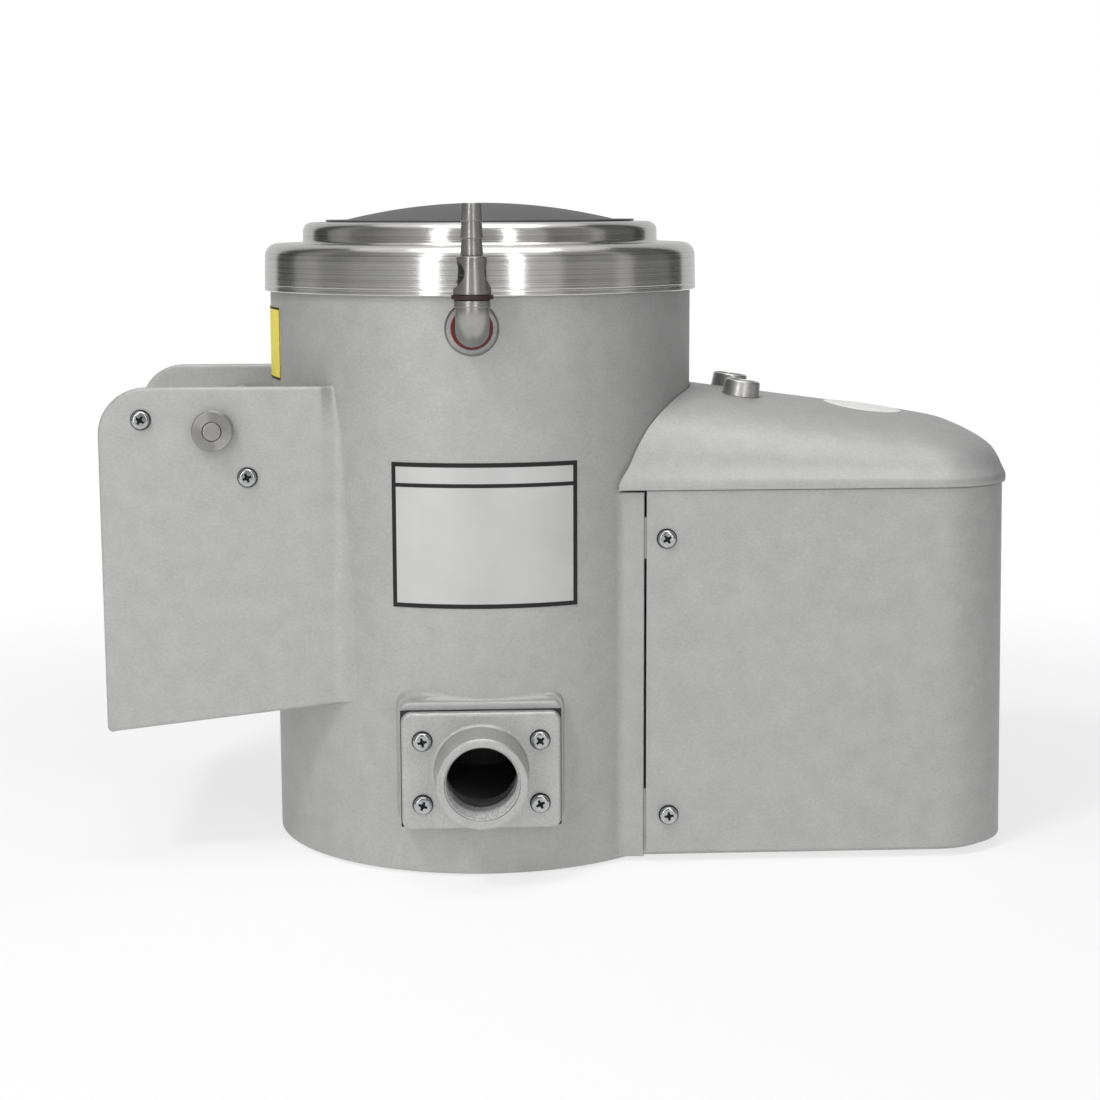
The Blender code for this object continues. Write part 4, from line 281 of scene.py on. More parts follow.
def finishOf(name, slot, **given):  # grain, patch, lines and relief in millimetres
    look = settings(metallic=0.0, spread=0.05, grain=0.5, relief=0.01, draw=(1, 1, 1), grainShare=0.4,
        lines=0, shader={})
    look.update(given)
    material = bpy.data.materials.new(name)
    add = emptied(material)
    where = add("TexCoord")
    if look.lines:  # turned or spun: the pattern runs round, and changes only along the profile
        split = add("SeparateXYZ", links={0: where.outputs["UV"]})
        grain = add("TexNoise", {"noise_dimensions": "1D", "Detail": 3.0,
            "Scale": perMetre(look.lines)}, {"W": split.outputs["Y"]})
    else:
        drawn = add("Mapping", {"Scale": look.draw}, {"Vector": where.outputs["Object"]})
        grain = add("TexNoise", {"Detail": 3.0, "Roughness": 0.6, "Scale": perMetre(look.grain)},
            {"Vector": drawn})
    patch = add("TexNoise", {"Detail": 4.0, "Scale": perMetre(look.patch)},
        {"Vector": where.outputs["Object"]})
    blend = add("Math", {"operation": "MULTIPLY_ADD", 1: look.grainShare, 2: 0.0}, {0: grain})
    total = add("Math", {"operation": "MULTIPLY_ADD", 1: 1.0 - look.grainShare}, {0: patch, 2: blend})
    ramp = add("MapRange", {"From Min": 0.3, "From Max": 0.7}, {"Value": total})
    colour = add("Mix", {"data_type": "RGBA", 6: linear(look.low), 7: linear(look.high)}, {0: ramp})
    rough = add("MapRange", {"From Min": 0.25, "From Max": 0.75,
        "To Min": look.roughness - look.spread, "To Max": look.roughness + look.spread}, {"Value": total})
    bump = add("Bump", {"Distance": look.relief / 1000, "Strength": 1.0}, {"Height": grain})
    shader = add("BsdfPrincipled", {"Metallic": look.metallic, **look.shader},
        {"Base Color": colour.outputs[2], "Roughness": rough, "Normal": bump})
    add("OutputMaterial", links={0: shader})
    if look.lines:
        tangent = add("Tangent", {"direction_type": "UV_MAP"})
        material.node_tree.links.new(tangent.outputs[0], shader.inputs["Tangent"])
    material.diffuse_color = linear(look.high)
    return material


# Finishes. Grain, lines and mould textures are finer than half a millimetre on the real machine, which is
# less than a pixel, so they are drawn as coarse as they need to be to show.

# Sand-cast aluminium, bead-blasted: a matt grey metal, mottled and faintly streaked, soft at every edge
castAluminium = finishOf("castAluminium", "cast_aluminium", low="#a5a5a4", high="#b9b9b8", metallic=0.5,
    roughness=0.55, grain=1.5, draw=(0.75, 0.75, 1.1), patch=14.0, relief=0.12, grainShare=0.6)
# The same alloy machined on a mill for the drain flange: a little smoother and brighter
machinedAluminium = finishOf("machinedAluminium", "cast_aluminium", low="#a9a9a8", high="#c6c6c5",
    metallic=0.8, roughness=0.48, spread=0.06, grain=1.6, patch=16.0, relief=0.12, grainShare=0.6)
# Spun aluminium sheet: lines round the axis smear each reflection up and down, none sideways
spunAluminium = finishOf("spunAluminium", "spun_aluminium", low="#c2c1bf", high="#dcdbd9", metallic=1.0,
    roughness=0.24, lines=1.1, patch=30.0, relief=0.012, grainShare=0.8,
    shader={"Anisotropic": 0.88, "Anisotropic Rotation": 0.25})
# Stainless bar turned on a lathe: feed lines round the axis, bright wedges at the ends
turnedStainless = finishOf("turnedStainless", "stainless_steel", low="#8f8e8c", high="#b1b0ae", metallic=1.0,
    roughness=0.42, lines=0.3, patch=9.0, relief=0.004, grainShare=0.6,
    shader={"Anisotropic": 0.94, "Anisotropic Rotation": 0.25})
# Stainless sheet and ground rod: a plain satin
satinStainless = finishOf("satinStainless", "stainless_steel", low="#9a9997", high="#adacaa", metallic=1.0,
    roughness=0.34, patch=12.0)
# The same sheet and bar polished a little brighter, for the buttons' bezels
brightStainless = finishOf("brightStainless", "stainless_steel", low="#bdbcba", high="#cccbc9", metallic=1.0,
    roughness=0.38, patch=12.0)
# Zinc-plated steel screws: pale, faintly blue, slightly mottled
zincSteel = finishOf("zincSteel", "zinc_plated_steel", low="#9c9d9f", high="#c6c7c8", metallic=1.0,
    roughness=0.2, spread=0.06, grain=0.4, patch=2.5)
# Painted shade: the same zinc drawn near black in the screws' recesses and in a thin line under the heads
paintedShadeZinc = finishOf("paintedShadeZinc", None, low="#121314", high="#1d1e20", roughness=0.6, spread=0.06,
    grain=0.4, patch=2.0, relief=0.02)
# Moulded black rubber: dull, with a fine mould texture
blackRubber = finishOf("blackRubber", "black_rubber", low="#1d1d1e", high="#29292a", roughness=0.7,
    spread=0.06, grain=0.6, patch=6.0, relief=0.03, shader={"IOR": 1.52})
# Moulded grey rubber lid: matt, with a chalky bloom from washing
greyRubber = finishOf("greyRubber", "grey_rubber", low="#464647", high="#545455", roughness=0.55, spread=0.06,
    grain=0.8, patch=22.0, relief=0.03, shader={"IOR": 1.5})
# Vulcanised red fibre for the sealing washers: dark maroon, dry
redFibre = finishOf("redFibre", "red_fibre", low="#571219", high="#6b1a20", roughness=0.5, spread=0.08,
    grain=0.4, patch=3.0, relief=0.02)
# The same fibre under the air gap, dark with water and oil
soakedFibre = finishOf("soakedFibre", "red_fibre", low="#22110f", high="#331a17", roughness=0.45, spread=0.08,
    grain=0.4, patch=3.0, relief=0.02)
# Cut thread in the drain spigot: torn bright aluminium, grains that catch the light
cutAluminium = finishOf("cutAluminium", "cast_aluminium", low="#8c8c8e", high="#f8f8f6", metallic=0.35,
    roughness=0.35, spread=0.15, grain=0.8, patch=3.0, relief=0.5, grainShare=0.85)
# Silicon carbide grit bonded to the rotor: coarse, dark, sparkling
gritCoating = finishOf("gritCoating", None, low="#232327", high="#4a4a50", roughness=0.62, spread=0.25,
    grain=1.1, patch=14.0, relief=0.6, grainShare=0.8)
# Glass-filled nylon: moulded, slightly shiny black
blackNylon = finishOf("blackNylon", "black_plastic", low="#161617", high="#202021", roughness=0.42,
    spread=0.06, patch=8.0, relief=0.02)
# Machine enamel on the motor: dark blue-grey, orange-peel texture
motorEnamel = finishOf("motorEnamel", None, low="#4d5358", high="#575d63", metallic=0.1, roughness=0.4,
    grain=2.0, patch=25.0, relief=0.04)
# ABS button cap, moulded through in green: smooth, slightly shiny
greenAbs = finishOf("greenAbs", "start_button", low="#1f6b36", high="#277a40", roughness=0.32, patch=4.0)
# The same plastic moulded in red
redAbs = finishOf("redAbs", "stop_button", low="#8f1c1c", high="#a32424", roughness=0.32, patch=4.0)
# Anodised plate of the drum's front: satin silver
silverPlate = finishOf("silverPlate", "cast_aluminium", low="#b9b9b8", high="#c4c4c3", metallic=0.3,
    roughness=0.45, spread=0.04, patch=30.0, relief=0.004)
# Screen-printed ink on both plates: matt black
plateInk = finishOf("plateInk", None, low="#060607", high="#0c0c0d", roughness=0.62, spread=0.04, patch=10.0,
    relief=0.004)
# Calendered vinyl: flat yellow with a soft gloss
yellowVinyl = finishOf("yellowVinyl", "cast_aluminium", low="#ecd838", high="#f4e44a", roughness=0.38,
    spread=0.04, grain=0.6, patch=15.0, relief=0.004)
# Pale plastic of the disc on the control cover: smooth, slightly shiny
paleDisc = finishOf("paleDisc", "cast_aluminium", low="#f1f0ee", high="#f8f7f5", roughness=0.4, spread=0.04,
    patch=12.0, relief=0.006)
print("materials made")


# Drum, with the chamber, the floor, the door window and the way for the belt
drum = settings(radius=0.145, wall=0.006, height=0.4064, rim=0.0058, foot=0.0015, floorLow=0.039,
    floorHigh=0.045, fillet=0.012, hub=0.0303,
    window=(-0.08, 0.125, 0.08, 0.24, 0.012), windowDepths=(-0.155, -0.1),
    belt=(0.115, -0.062, 0.157, 0.062, 0.002, 2), beltHeights=(-0.004, 0.034, 0.0001, 0.001))


def drumSurface(x):
    return legOf(drum.radius, x)


def makeDrum():
    outer, inner = drum.radius, drum.radius - drum.wall
    shell = softened([(outer, 0.0, drum.foot), (outer, 0.1, 0), (outer, 0.2, 0), (outer, 0.3, 0),
        (outer, drum.height, drum.rim), (inner, drum.height, 0.0005), (inner, 0.3, 0), (inner, 0.2, 0),
        (inner, 0.12, 0), (inner, drum.floorHigh, drum.fillet), (drum.hub, drum.floorHigh, 0.0005),
        (drum.hub, drum.floorLow, 0.0005), (inner, drum.floorLow, 0.001), (inner, 0.0, 0.0005)])
    window = slab(boxOutline(*drum.window), *drum.windowDepths, axis=turnedBy(90, "Z") @ turnedBy(90, "X"))
    beltWay = slab(boxOutline(*drum.belt), *drum.beltHeights)
    spot, across = inlet.spotFace, facing(inlet.x, inlet.z)
    groove = spot - 0.0012
    face = [(0, spot), (0.0161, spot), (0.0163, groove), (0.0174, groove), (0.0176, 0.15), (0, 0.15)]
    tools = [window, rod(pad.bore, *pad.through, 64, facing(pad.x, pad.z)), lathe(face, 64, axis=across),
        rod(inlet.hole, 0.125, 0.15, 48, across), beltWay]
    place("drumCasting", solved(lathe(shell, 192, closed=True), tools), castAluminium, "body_casting")


# Cheeks beside the chute, and the ears that meet the motor cover
rimInsets = (0, 0.08, 0.3, 0.62, 1.0, 1.5)  # shares of the rim's round, from the edge inwards
cheek = settings(side=-1, face=0.1115, wall=0.007, edge=0.2505, blend=0.025, rim=0.0022, top=0.3183,
    foot=0.091, topRound=0.031, footRound=0.004, slope=6.5, touch=0.081, joint=0.1062,
    folds=((13, 0.17), (22, 0.03)), soft=(0.0035, 0.0085))  # degrees and the height that each fades over
ear = settings(side=1, face=0.115, wall=0.007, edge=0.1043, blend=0.012, rim=0.001, top=0.248, foot=0.0012,
    topRound=0.0, footRound=0.0, slope=0.0, touch=0.0, joint=0.0)
chute = settings(free=-0.2495, root=-0.0917, low=0.092, deep=0.00604, half=0.1055)


def smooth(share):
    share = min(max(share, 0.0), 1.0)
    return share * share * (3 - 2 * share)


def wingMesh(wing, front):
    rise = tan(radians(wing.slope))
    edge, rim, top, foot = wing.edge, wing.rim, wing.top, wing.foot
    topRound, footRound = wing.topRound, wing.footRound
    filletY = wing.face + wing.blend
    filletX = legOf(drum.radius + wing.blend, filletY)
    touch = wing.touch or filletX * drum.radius / (drum.radius + wing.blend)

    def lowAt(x):
        if edge - x < footRound:
            return foot + footRound - legOf(footRound, footRound - edge + x)
        return foot + (edge - x) * rise

    def highAt(x):
        return top - topRound + legOf(topRound, topRound - edge + x) if edge - x < topRound else top

    def depthIn(x, z):  # how far inside the outline
        if edge - x < topRound and z > top - topRound:
            return topRound - hypot(topRound - edge + x, z - top + topRound)
        if edge - x < footRound and z < foot + footRound:
            return footRound - hypot(footRound - edge + x, z - foot - footRound)
        return min(edge - x, top - z, (z - lowAt(x)) * cos(atan(rise)))

    def outerAt(x, z):
        under = drumSurface(x) - 0.0004
        if x <= touch:
            return under
        if not wing.joint:
            return wing.face if x >= filletX else filletY - legOf(wing.blend, filletX - x)
        below = top - z  # the face folds back a little towards the drum, most at its top end
        fold = sum(angle * (1 - smooth(below / length)) for angle, length in wing.folds)
        plane = wing.face - max(wing.joint - x, 0) * tan(radians(fold))
        soft = wing.soft[0] + (wing.soft[1] - wing.soft[0]) * smooth(below / wing.folds[0][1])
        near = max(soft - abs(plane - under), 0) / soft
        return max(plane, under) + near * near * soft / 4

    spots = [edge - d for d in (0, 0.1 * rim, 0.3 * rim, 0.6 * rim, rim, 1.5 * rim)]
    spots += [edge - max(topRound, 2 * rim) * (1 - cos(pi / 2 * k / 10)) for k in range(1, 11)]
    run = spots[-1]
    spots += [run + (filletX - run) * k / 8 for k in range(1, 9)]
    spots += [filletX - (filletX - touch) * sin(pi / 2 * k / 16) for k in range(1, 17)]
    spots += [touch - 0.002] + [wing.joint - 0.0015 * k for k in range(-2, 12) if wing.joint]
    rings = []
    for x in sorted({round(s, 6) for s in spots}, reverse=True):
        low, high = lowAt(x), highAt(x)
        heights = [low + rim * s for s in rimInsets]
        heights += [low + (high - low) * s for s in (0.15, 0.3, 0.45, 0.6, 0.7)]
        heights += [high - drop for drop in (0.046, 0.037, 0.03, 0.024, 0.019, 0.015, 0.011, 0.008, 0.0055)]
        heights += [high - rim * s for s in reversed(rimInsets)]
        behind = max(wing.face - wing.wall, legOf(drum.radius - drum.wall, x) + 0.0008)
        faces = ([], [])
        for z in heights:
            outer = outerAt(x, z)
            inner = min(behind, outer - 0.0015)
            depth = max(depthIn(x, z), 0.0)
            drop = rim - legOf(rim, rim - depth) if depth < rim else 0.0
            drop = min(drop, (outer - inner) / 2)
            faces[0].append((wing.side * x, front * (outer - drop), z))
            faces[1].append((wing.side * x, front * (inner + drop), z))
        rings.append(faces[0] + faces[1][::-1])
    return loft(rings)


def makeWings():
    for side, front in (("near", -1), ("far", 1)):
        hole = rod(door.bore, 0.09, 0.13, 32, facing(door.x, door.z, front > 0))
        wing = solved(wingMesh(cheek, front), [hole], "MANIFOLD")
        place(side + "Cheek", wing, castAluminium, "body_casting")
    for side, front in (("near", -1), ("far", 1)):
        place(side + "Ear", wingMesh(ear, front), castAluminium, "body_casting")
    c = chute
    high = c.low + (c.root - c.free) * tan(radians(cheek.slope))
    outline = softened([(c.free, c.low, 0.0015), (c.root, high, 0.0), (c.root, high + c.deep, 0.0),
        (c.free, c.low + c.deep, 0.0025)])
    place("chuteFloor", slab(outline, -c.half, c.half, axis=facing(0, 0)), castAluminium, "body_casting")


# Drain pad, flat in front and swept out into the drum
pad = settings(x=-0.005, z=0.072, face=0.149, halfWidth=0.0524, low=0.0352, high=0.1166, corner=0.006,
    round=0.0022, fillet=0.0055, sideFillet=0.003, step=0.004, bore=0.0239,
    through=(0.12, 0.16), behind=0.1415, inside=0.1395)


def makePad():
    corners = boxOutline(pad.x - pad.halfWidth, pad.low, pad.x + pad.halfWidth, pad.high, pad.corner, 8)
    outline = []
    for (x0, z0), (x1, z1) in zip(corners, corners[1:] + corners[:1]):
        parts = max(1, round(dist((x0, z0), (x1, z1)) / pad.step))
        outline += [(x0 + (x1 - x0) * i / parts, z0 + (z1 - z0) * i / parts) for i in range(parts)]
    normals = outlineNormals(outline)
    shoulder = pad.face - pad.round
    sweeps = []  # the fillet's radius at each point, as far as the drum leaves room
    for (x, z), normal in zip(outline, normals):
        wanted = pad.sideFillet + (pad.fillet - pad.sideFillet) * max(normal[1], 0) ** 2
        sweeps.append(max(0.0004, min(wanted, shoulder - drumSurface(x))))

    def row(offsets, depths):
        spots = zip(outline, normals, offsets, depths)
        return [(x + n[0] * off, -depth, z + n[1] * off) for (x, z), n, off, depth in spots]

    def evenRow(offset, depth):
        return row([offset] * len(outline), [depth] * len(outline))

    rings = [evenRow(-pad.round * 1.5, pad.face)]
    for k in range(7):
        turn = pi / 2 * k / 6
        rings.append(evenRow(pad.round * (sin(turn) - 1), pad.face - pad.round * (1 - cos(turn))))
    for k in range(9):
        turn = radians(88) * k / 8
        offsets = [sweep * (1 - cos(turn)) for sweep in sweeps]
        spots = zip(outline, normals, offsets, sweeps)
        depths = [drumSurface(x + n[0] * off) + sweep * (1 - sin(turn)) for (x, z), n, off, sweep in spots]
        rings.append(row(offsets, depths))
    rings.append(row(offsets, [depth - 0.002 for depth in depths]))
    rings.append(row([off * 0.5 for off in offsets], [pad.behind] * len(outline)))
    tools = [rod(pad.bore, *pad.through, 64, facing(pad.x, pad.z)), rod(pad.inside, 0.0, 0.13, 128)]
    place("drainPad", solved(loft(rings), tools), castAluminium, "body_casting")


# Motor bay under its covers: a shelf, a wall round the belt space and two lugs
bay = settings(face=0.1142, right=0.349, corner=0.0467, wall=0.005, foot=0.0023, shelf=0.048, roof=0.043,
    hole=0.03, motorX=0.235, lugs=(-0.1142, 0.1022), lugLeft=0.0985, lugRight=0.1322, lugThick=0.012,
    lugHeights=(0.2033, 0.2313), inside=0.1405)


def bayOutline(inset, start):
    face, right, radius = bay.face - inset, bay.right - inset, bay.corner - inset
    return softened([(start, -face, 0), (right, -face, radius), (right, face, radius), (start, face, 0)], 10)


def makeBay():
    block = slab(bayOutline(0, 0.0865), bay.foot, bay.shelf, 0.0004, 0.001, 2)
    tools = [slab(bayOutline(bay.wall, 0.08), -0.01, bay.roof, 0.0001, 0.002, 2),
        rod(bay.hole, 0.02, 0.06, 64, movedTo(bay.motorX, 0, 0)), rod(bay.inside, -0.01, 0.1, 128)]
    lugs = []
    for low in bay.lugs:
        outline = boxOutline(bay.lugLeft, low, bay.lugRight, low + bay.lugThick, 0.001, 2)
        lugs.append(slab(outline, *bay.lugHeights, 0.001, 0.001, 2))
    place("baySeat", joined(solved(block, tools), *lugs), castAluminium, "body_casting")


# Motor cover, a wall bent round the bay
motorCover = settings(face=0.1175, left=0.1055, right=0.3535, foot=0.0045, top=0.2492, corner=0.05,
    wall=0.003, rim=0.0009, leanTop=-0.0022, leanFoot=0.0018)


def makeMotorCover():
    c = motorCover
    path = softened([(c.left, -c.face, 0), (c.right, -c.face, c.corner), (c.right, c.face, c.corner),
        (c.left, c.face, 0)], 18, closed=False)
    section = softened([(0, c.foot, c.rim), (0, c.foot + 0.06, 0), (0, c.top - 0.06, 0), (0, c.top, c.rim),
        (c.wall, c.top, c.rim), (c.wall, c.foot, c.rim)], 4)

    def lean(x, z):  # the far end is wider at the foot
        share = (z - c.foot) / (c.top - c.foot)
        most = c.leanFoot + (c.leanTop - c.leanFoot) * share
        return most * max((x - c.left) / (c.right - c.left), 0) ** 2

    rings = []
    for (x, y), (nx, ny) in zip(path, outlineNormals(path, False)):
        rings.append([(x - nx * inset + lean(x, z), y - ny * inset, z) for inset, z in section])
    place("motorCoverWrap", loft(rings), castAluminium, "motor_cover")


# Control cover, a cast lid that arches over the bay and falls away from the drum
lid = settings(face=0.1195, right=0.3536, foot=0.2495, lip=0.0045, crest=0.3103, crestX=0.1445, fall=7.7,
    clearance=0.1456, flare=0.0022, reach=0.052, nose=0.8, wall=0.0036, lipRound=0.0012, between=6,
    noseSteps=22, sides=(0.0, 0.007, 0.013, 0.023, 0.0385, 0.061, 0.096, 0.1195),
    ends=(0.0, 0.0012, 0.0027, 0.0058, 0.0135, 0.025, 0.042, 0.052),
    rises=(0.0, 0.18, 0.37, 0.59, 0.776, 0.92, 0.99, 1.0))
lidFall = tan(radians(lid.fall))
lidShape = {}


def lidCrest(x):
    return lid.crest - (x - lid.crestX) * lidFall


def between(values, position):  # a smooth curve through the values
    i = min(int(position), len(values) - 2)
    t = position - i
    before = values[i - 1] if i else 2 * values[0] - values[1]
    after = values[i + 2] if i + 2 < len(values) else 2 * values[-1] - values[-2]
    a, b = values[i], values[i + 1]
    bend = 2 * before - 5 * a + 4 * b - after
    return a + 0.5 * t * (b - before + t * (bend + t * (3 * (a - b) + after - before)))


def lidRing(side, end, share):
    half = max(lid.face - side, 0.0)
    right = lid.right - end
    depth = min(lid.reach, half * lid.nose)
    start = sqrt((lid.clearance + lid.flare * (half / lid.face) ** 8) ** 2 - half ** 2)
    path = [(start, -half)]
    bend = right - lid.reach
    path += [(start + (bend - start) * k / 10, -half) for k in range(1, 10)]
    turns = [pi / 2 * k / lid.noseSteps for k in range(lid.noseSteps + 1)]
    path += [(bend + lid.reach * sin(t), -half + depth - depth * cos(t)) for t in turns]
    straight = half - depth
    path += [(right, -straight * (1 - k / 4)) for k in range(1, 5)]
    path += [(x, -y) for x, y in path[-2::-1]]
    base = lid.foot + lid.lip
    return [(x, y, base + share * (lidCrest(x) - base)) for x, y in path]


def makeControlCover():
    rings = []
    for lift in (0.0, 0.5, 1.0):
        rings.append([(x, y, lid.foot + lift * (lid.lip - lid.lipRound)) for x, y, z in lidRing(0, 0, 0)])
    last = len(lid.sides) - 1
    for k in range(1, last * lid.between + 1):
        position = k / lid.between
        side = between(lid.sides, position) if position < last else lid.sides[-1]
        rings.append(lidRing(side, between(lid.ends, position), between(lid.rises, position)))
    body = bmesh.new()
    body.from_mesh(loft(rings, closed=False, capped=False))
    bmesh.ops.remove_doubles(body, verts=body.verts, dist=0.00002)
    bmesh.ops.recalc_face_normals(body, faces=body.faces)
    if max(body.faces, key=lambda face: face.calc_center_median().z).normal.z < 0:
        bmesh.ops.reverse_faces(body, faces=body.faces)
    mesh = meshFrom(body, False)
    faces = [list(polygon.vertices) for polygon in mesh.polygons]
    lidShape["tree"] = BVHTree.FromPolygons([vert.co[:] for vert in mesh.vertices], faces)
    shell = shown("work", mesh)
    wall = shell.modifiers.new("wall", "SOLIDIFY")
    wall.thickness, wall.offset = lid.wall, -1
    thick = evaluated(shell)
    wide, narrow = button.radius + 0.0005, button.shank + gap
    hole = [(0, 0.02), (wide, 0.02), (wide, 0), (narrow, 0), (narrow, -0.016), (0, -0.016)]
    tools = [lathe(hole, 64, axis=buttonAxis(y)) for y in (-button.y, button.y)]
    place("controlCoverLid", solved(thick, tools), castAluminium, "control_cover")


# Push buttons in their bezels
button = settings(x=0.1778, y=0.033, drop=0.0027, radius=0.01275, topRadius=0.0119, height=0.0115,
    shank=0.0105, shankLength=0.014, bore=0.0088, sink=0.0012, travel=0.003)


def buttonAxis(y):
    seat = lidCrest(button.x) - button.drop
    return movedTo(button.x, y, seat) @ turnedBy(lid.fall, "Y")


def makeButtons():
    b = button
    for name, y, finish in (("start", -b.y, greenAbs), ("stop", b.y, redAbs)):
        bezel = softened([(b.topRadius, b.height, 0.0016), (b.radius, 0.0004, 0.0004), (b.shank, 0.0004, 0),
            (b.shank, -b.shankLength, 0), (b.bore, -b.shankLength, 0), (b.bore, b.height, 0.0006)], 6)
        place(name + "Bezel", lathe(bezel, 80, True, buttonAxis(y)), brightStainless, name + "_bezel")
        radius, top = b.bore - gap, b.height - b.sink
        foot = -b.shankLength + b.travel
        cap = softened([(0, top + 0.0004, 0), (radius * 0.5, top + 0.0003, 0), (radius, top, 0.0012),
            (radius, foot, 0.0003), (0, foot, 0)], 6, closed=False)
        place(name + "Cap", lathe(cap, 64, axis=buttonAxis(y)), finish, name + "_button", body=name + "_push")


# Spun top cover and its moulded rubber lid
spun = settings(sheet=0.002, skirt=0.1487, taper=0.0007, foot=0.377, shelfRound=0.0085, shelf=0.4087,
    step=0.122, top=0.423, stepRound=0.0065, hole=0.104, bead=0.0035, beadDepth=0.00022)


def makeTopCover():
    s, t = spun, spun.sheet
    crown, groove = s.skirt - s.taper, s.foot + s.bead
    shape = softened([(s.hole, s.top, 0.0008), (s.step, s.top, s.stepRound), (s.step, s.shelf, 0.0028),
        (crown, s.shelf, s.shelfRound), (s.skirt - 0.0001, groove + 0.0011, 0.0003),
        (s.skirt - s.beadDepth, groove + 0.0005, 0.0003), (s.skirt, groove, 0.0004),
        (s.skirt, s.foot, 0.0009), (s.skirt - t, s.foot, 0.0009), (crown - t, s.shelf - t, s.shelfRound - t),
        (s.step - t, s.shelf - t, 0.001), (s.step - t, s.top - t, s.stepRound - t),
        (s.hole, s.top - t, 0.0008)], 8)
    place("topCoverSpun", lathe(shape, 256, True), spunAluminium, "top_cover", body="cover")


rubber = settings(lip=0.0012, radius=0.1063, dome=0.0925, rise=0.0125, wall=0.004, plug=0.0065,
    clearance=0.0006)


def makeRubberLid():
    r = rubber
    base, plug = spun.top + gap, spun.hole - r.clearance
    inner = plug - r.wall

    def domeAt(share, drop):
        return r.dome * share, base + r.lip + (r.rise - r.lip) * (1 - share ** 2) - drop

    top = [domeAt(k / 20, 0) for k in range(20)]
    rim = softened([(*domeAt(0.95, 0), 0), (*domeAt(1.0, 0), 0.003), (r.radius, base + r.lip, 0.0005),
        (r.radius, base, 0.0003), (plug, base, 0.0005), (plug, base - r.plug, 0.001),
        (inner, base - r.plug, 0.001), (inner, base + r.lip - r.wall, 0.001), (*domeAt(0.94, r.wall), 0)], 5,
        closed=False)
    under = [domeAt(k / 20, r.wall) for k in range(18, -1, -1)]
    place("rubberLidDome", lathe(top + rim[1:] + under, 192), greyRubber, "rubber_lid", body="lid")


# Drain gasket, flange and the spigot with its inside thread
drain = settings(halfWidth=0.0515, low=0.034, high=0.1112, corner=0.006, gasketLow=0.1493,
    gasketHigh=0.1503, gasketLap=0.0006, back=0.1506, front=0.157, round=0.0026, spigot=0.0303, tip=0.0297,
    end=0.1895, lip=0.0022, root=0.0035, bore=0.0239, mouth=0.0012)
thread = {"Bore": 0.024, "Pitch": 0.0023, "Turns": 12.5, "Rib": 0.00105, "Steps": 56}


def groupOf(name, inputs):  # a Geometry Nodes tree with these inputs after its geometry
    tree = bpy.data.node_groups.new(name, "GeometryNodeTree")
    for key, kind in {"Geometry": "Geometry", **inputs}.items():
        tree.interface.new_socket(key, in_out="INPUT", socket_type="NodeSocket" + kind)
    tree.interface.new_socket("Geometry", in_out="OUTPUT", socket_type="NodeSocketGeometry")
    add = adderFor(tree, "GeometryNode")
    return tree, add, add("NodeGroupInput").outputs


def threadTree():  # a rib wound up a bore, from its foot at the origin along Z
    tree, add, given = groupOf("windThread", {"Bore": "Float", "Pitch": "Float", "Turns": "Float",
        "Rib": "Float", "Steps": "Int", "Finish": "Material"})
    rise = add("ShaderNodeMath", {"operation": "MULTIPLY"}, {0: given["Pitch"], 1: given["Turns"]})
    wound = add("CurveSpiral", links={"Resolution": given["Steps"], "Rotations": given["Turns"],
        "Start Radius": given["Bore"], "End Radius": given["Bore"], "Height": rise})
    section = add("CurvePrimitiveCircle", {"Resolution": 6}, {"Radius": given["Rib"]})
    rib = add("CurveToMesh", {"Fill Caps": True}, {"Curve": wound, "Profile Curve": section})
    real = add("RealizeInstances", links={"Geometry": rib})
    finish = add("SetMaterial", links={"Geometry": real, "Material": given["Finish"]})
    add("NodeGroupOutput", links={"Geometry": finish})
    return tree


def grown(tree, values, mesh):  # the plain mesh that a node tree makes of a mesh
    item = shown("work", mesh)
    step = item.modifiers.new("grow", "NODES")
    step.node_group = tree
    for socket in tree.interface.items_tree:
        if socket.in_out == "INPUT" and socket.name in values:
            step[socket.identifier] = values[socket.name]
    result = evaluated(item)
    if result.materials and result.materials[0] is None:  # the empty mesh leaves a blank slot
        result.materials.pop(index=0)
    return result


def makeDrain():
    d, lap = drain, drain.gasketLap
    axis = facing(pad.x, pad.z)
    low, high = d.low - pad.z, d.high - pad.z
    bore = [rod(d.bore, 0.14, 0.2, 96, axis)]
    backing = boxOutline(-d.halfWidth - lap, low + lap, d.halfWidth + lap, high + lap, lap, 2)
    gasket = slab(backing, d.gasketLow, d.gasketHigh, axis=axis)
    place("drainGasketSheet", solved(gasket, bore), blackRubber, "drain_gasket")
    outline = boxOutline(-d.halfWidth, low, d.halfWidth, high, d.corner, 8)
    plate = slab(outline, d.back, d.front, 0.0006, d.round, 6, axis)
    flare, seat = d.spigot + d.root + 0.001, d.front + 0.00002
    spigot = lathe(softened([(flare, d.front - 0.002, 0), (flare, seat, 0), (d.spigot, seat, d.root),
        (d.tip, d.end, d.lip), (d.bore, d.end, d.mouth), (d.bore, d.front - 0.002, 0)], 10), 96, True, axis)
    place("drainFlangePlate", joined(solved(plate, bore), spigot), machinedAluminium, "drain_flange")
    wound = grown(threadTree(), {**thread, "Finish": cutAluminium}, bpy.data.meshes.new("seed"))
    wound.transform(axis @ movedTo(0, 0, d.end - 0.0025 - thread["Pitch"] * thread["Turns"]))
    place("drainThread", wound, cutAluminium)


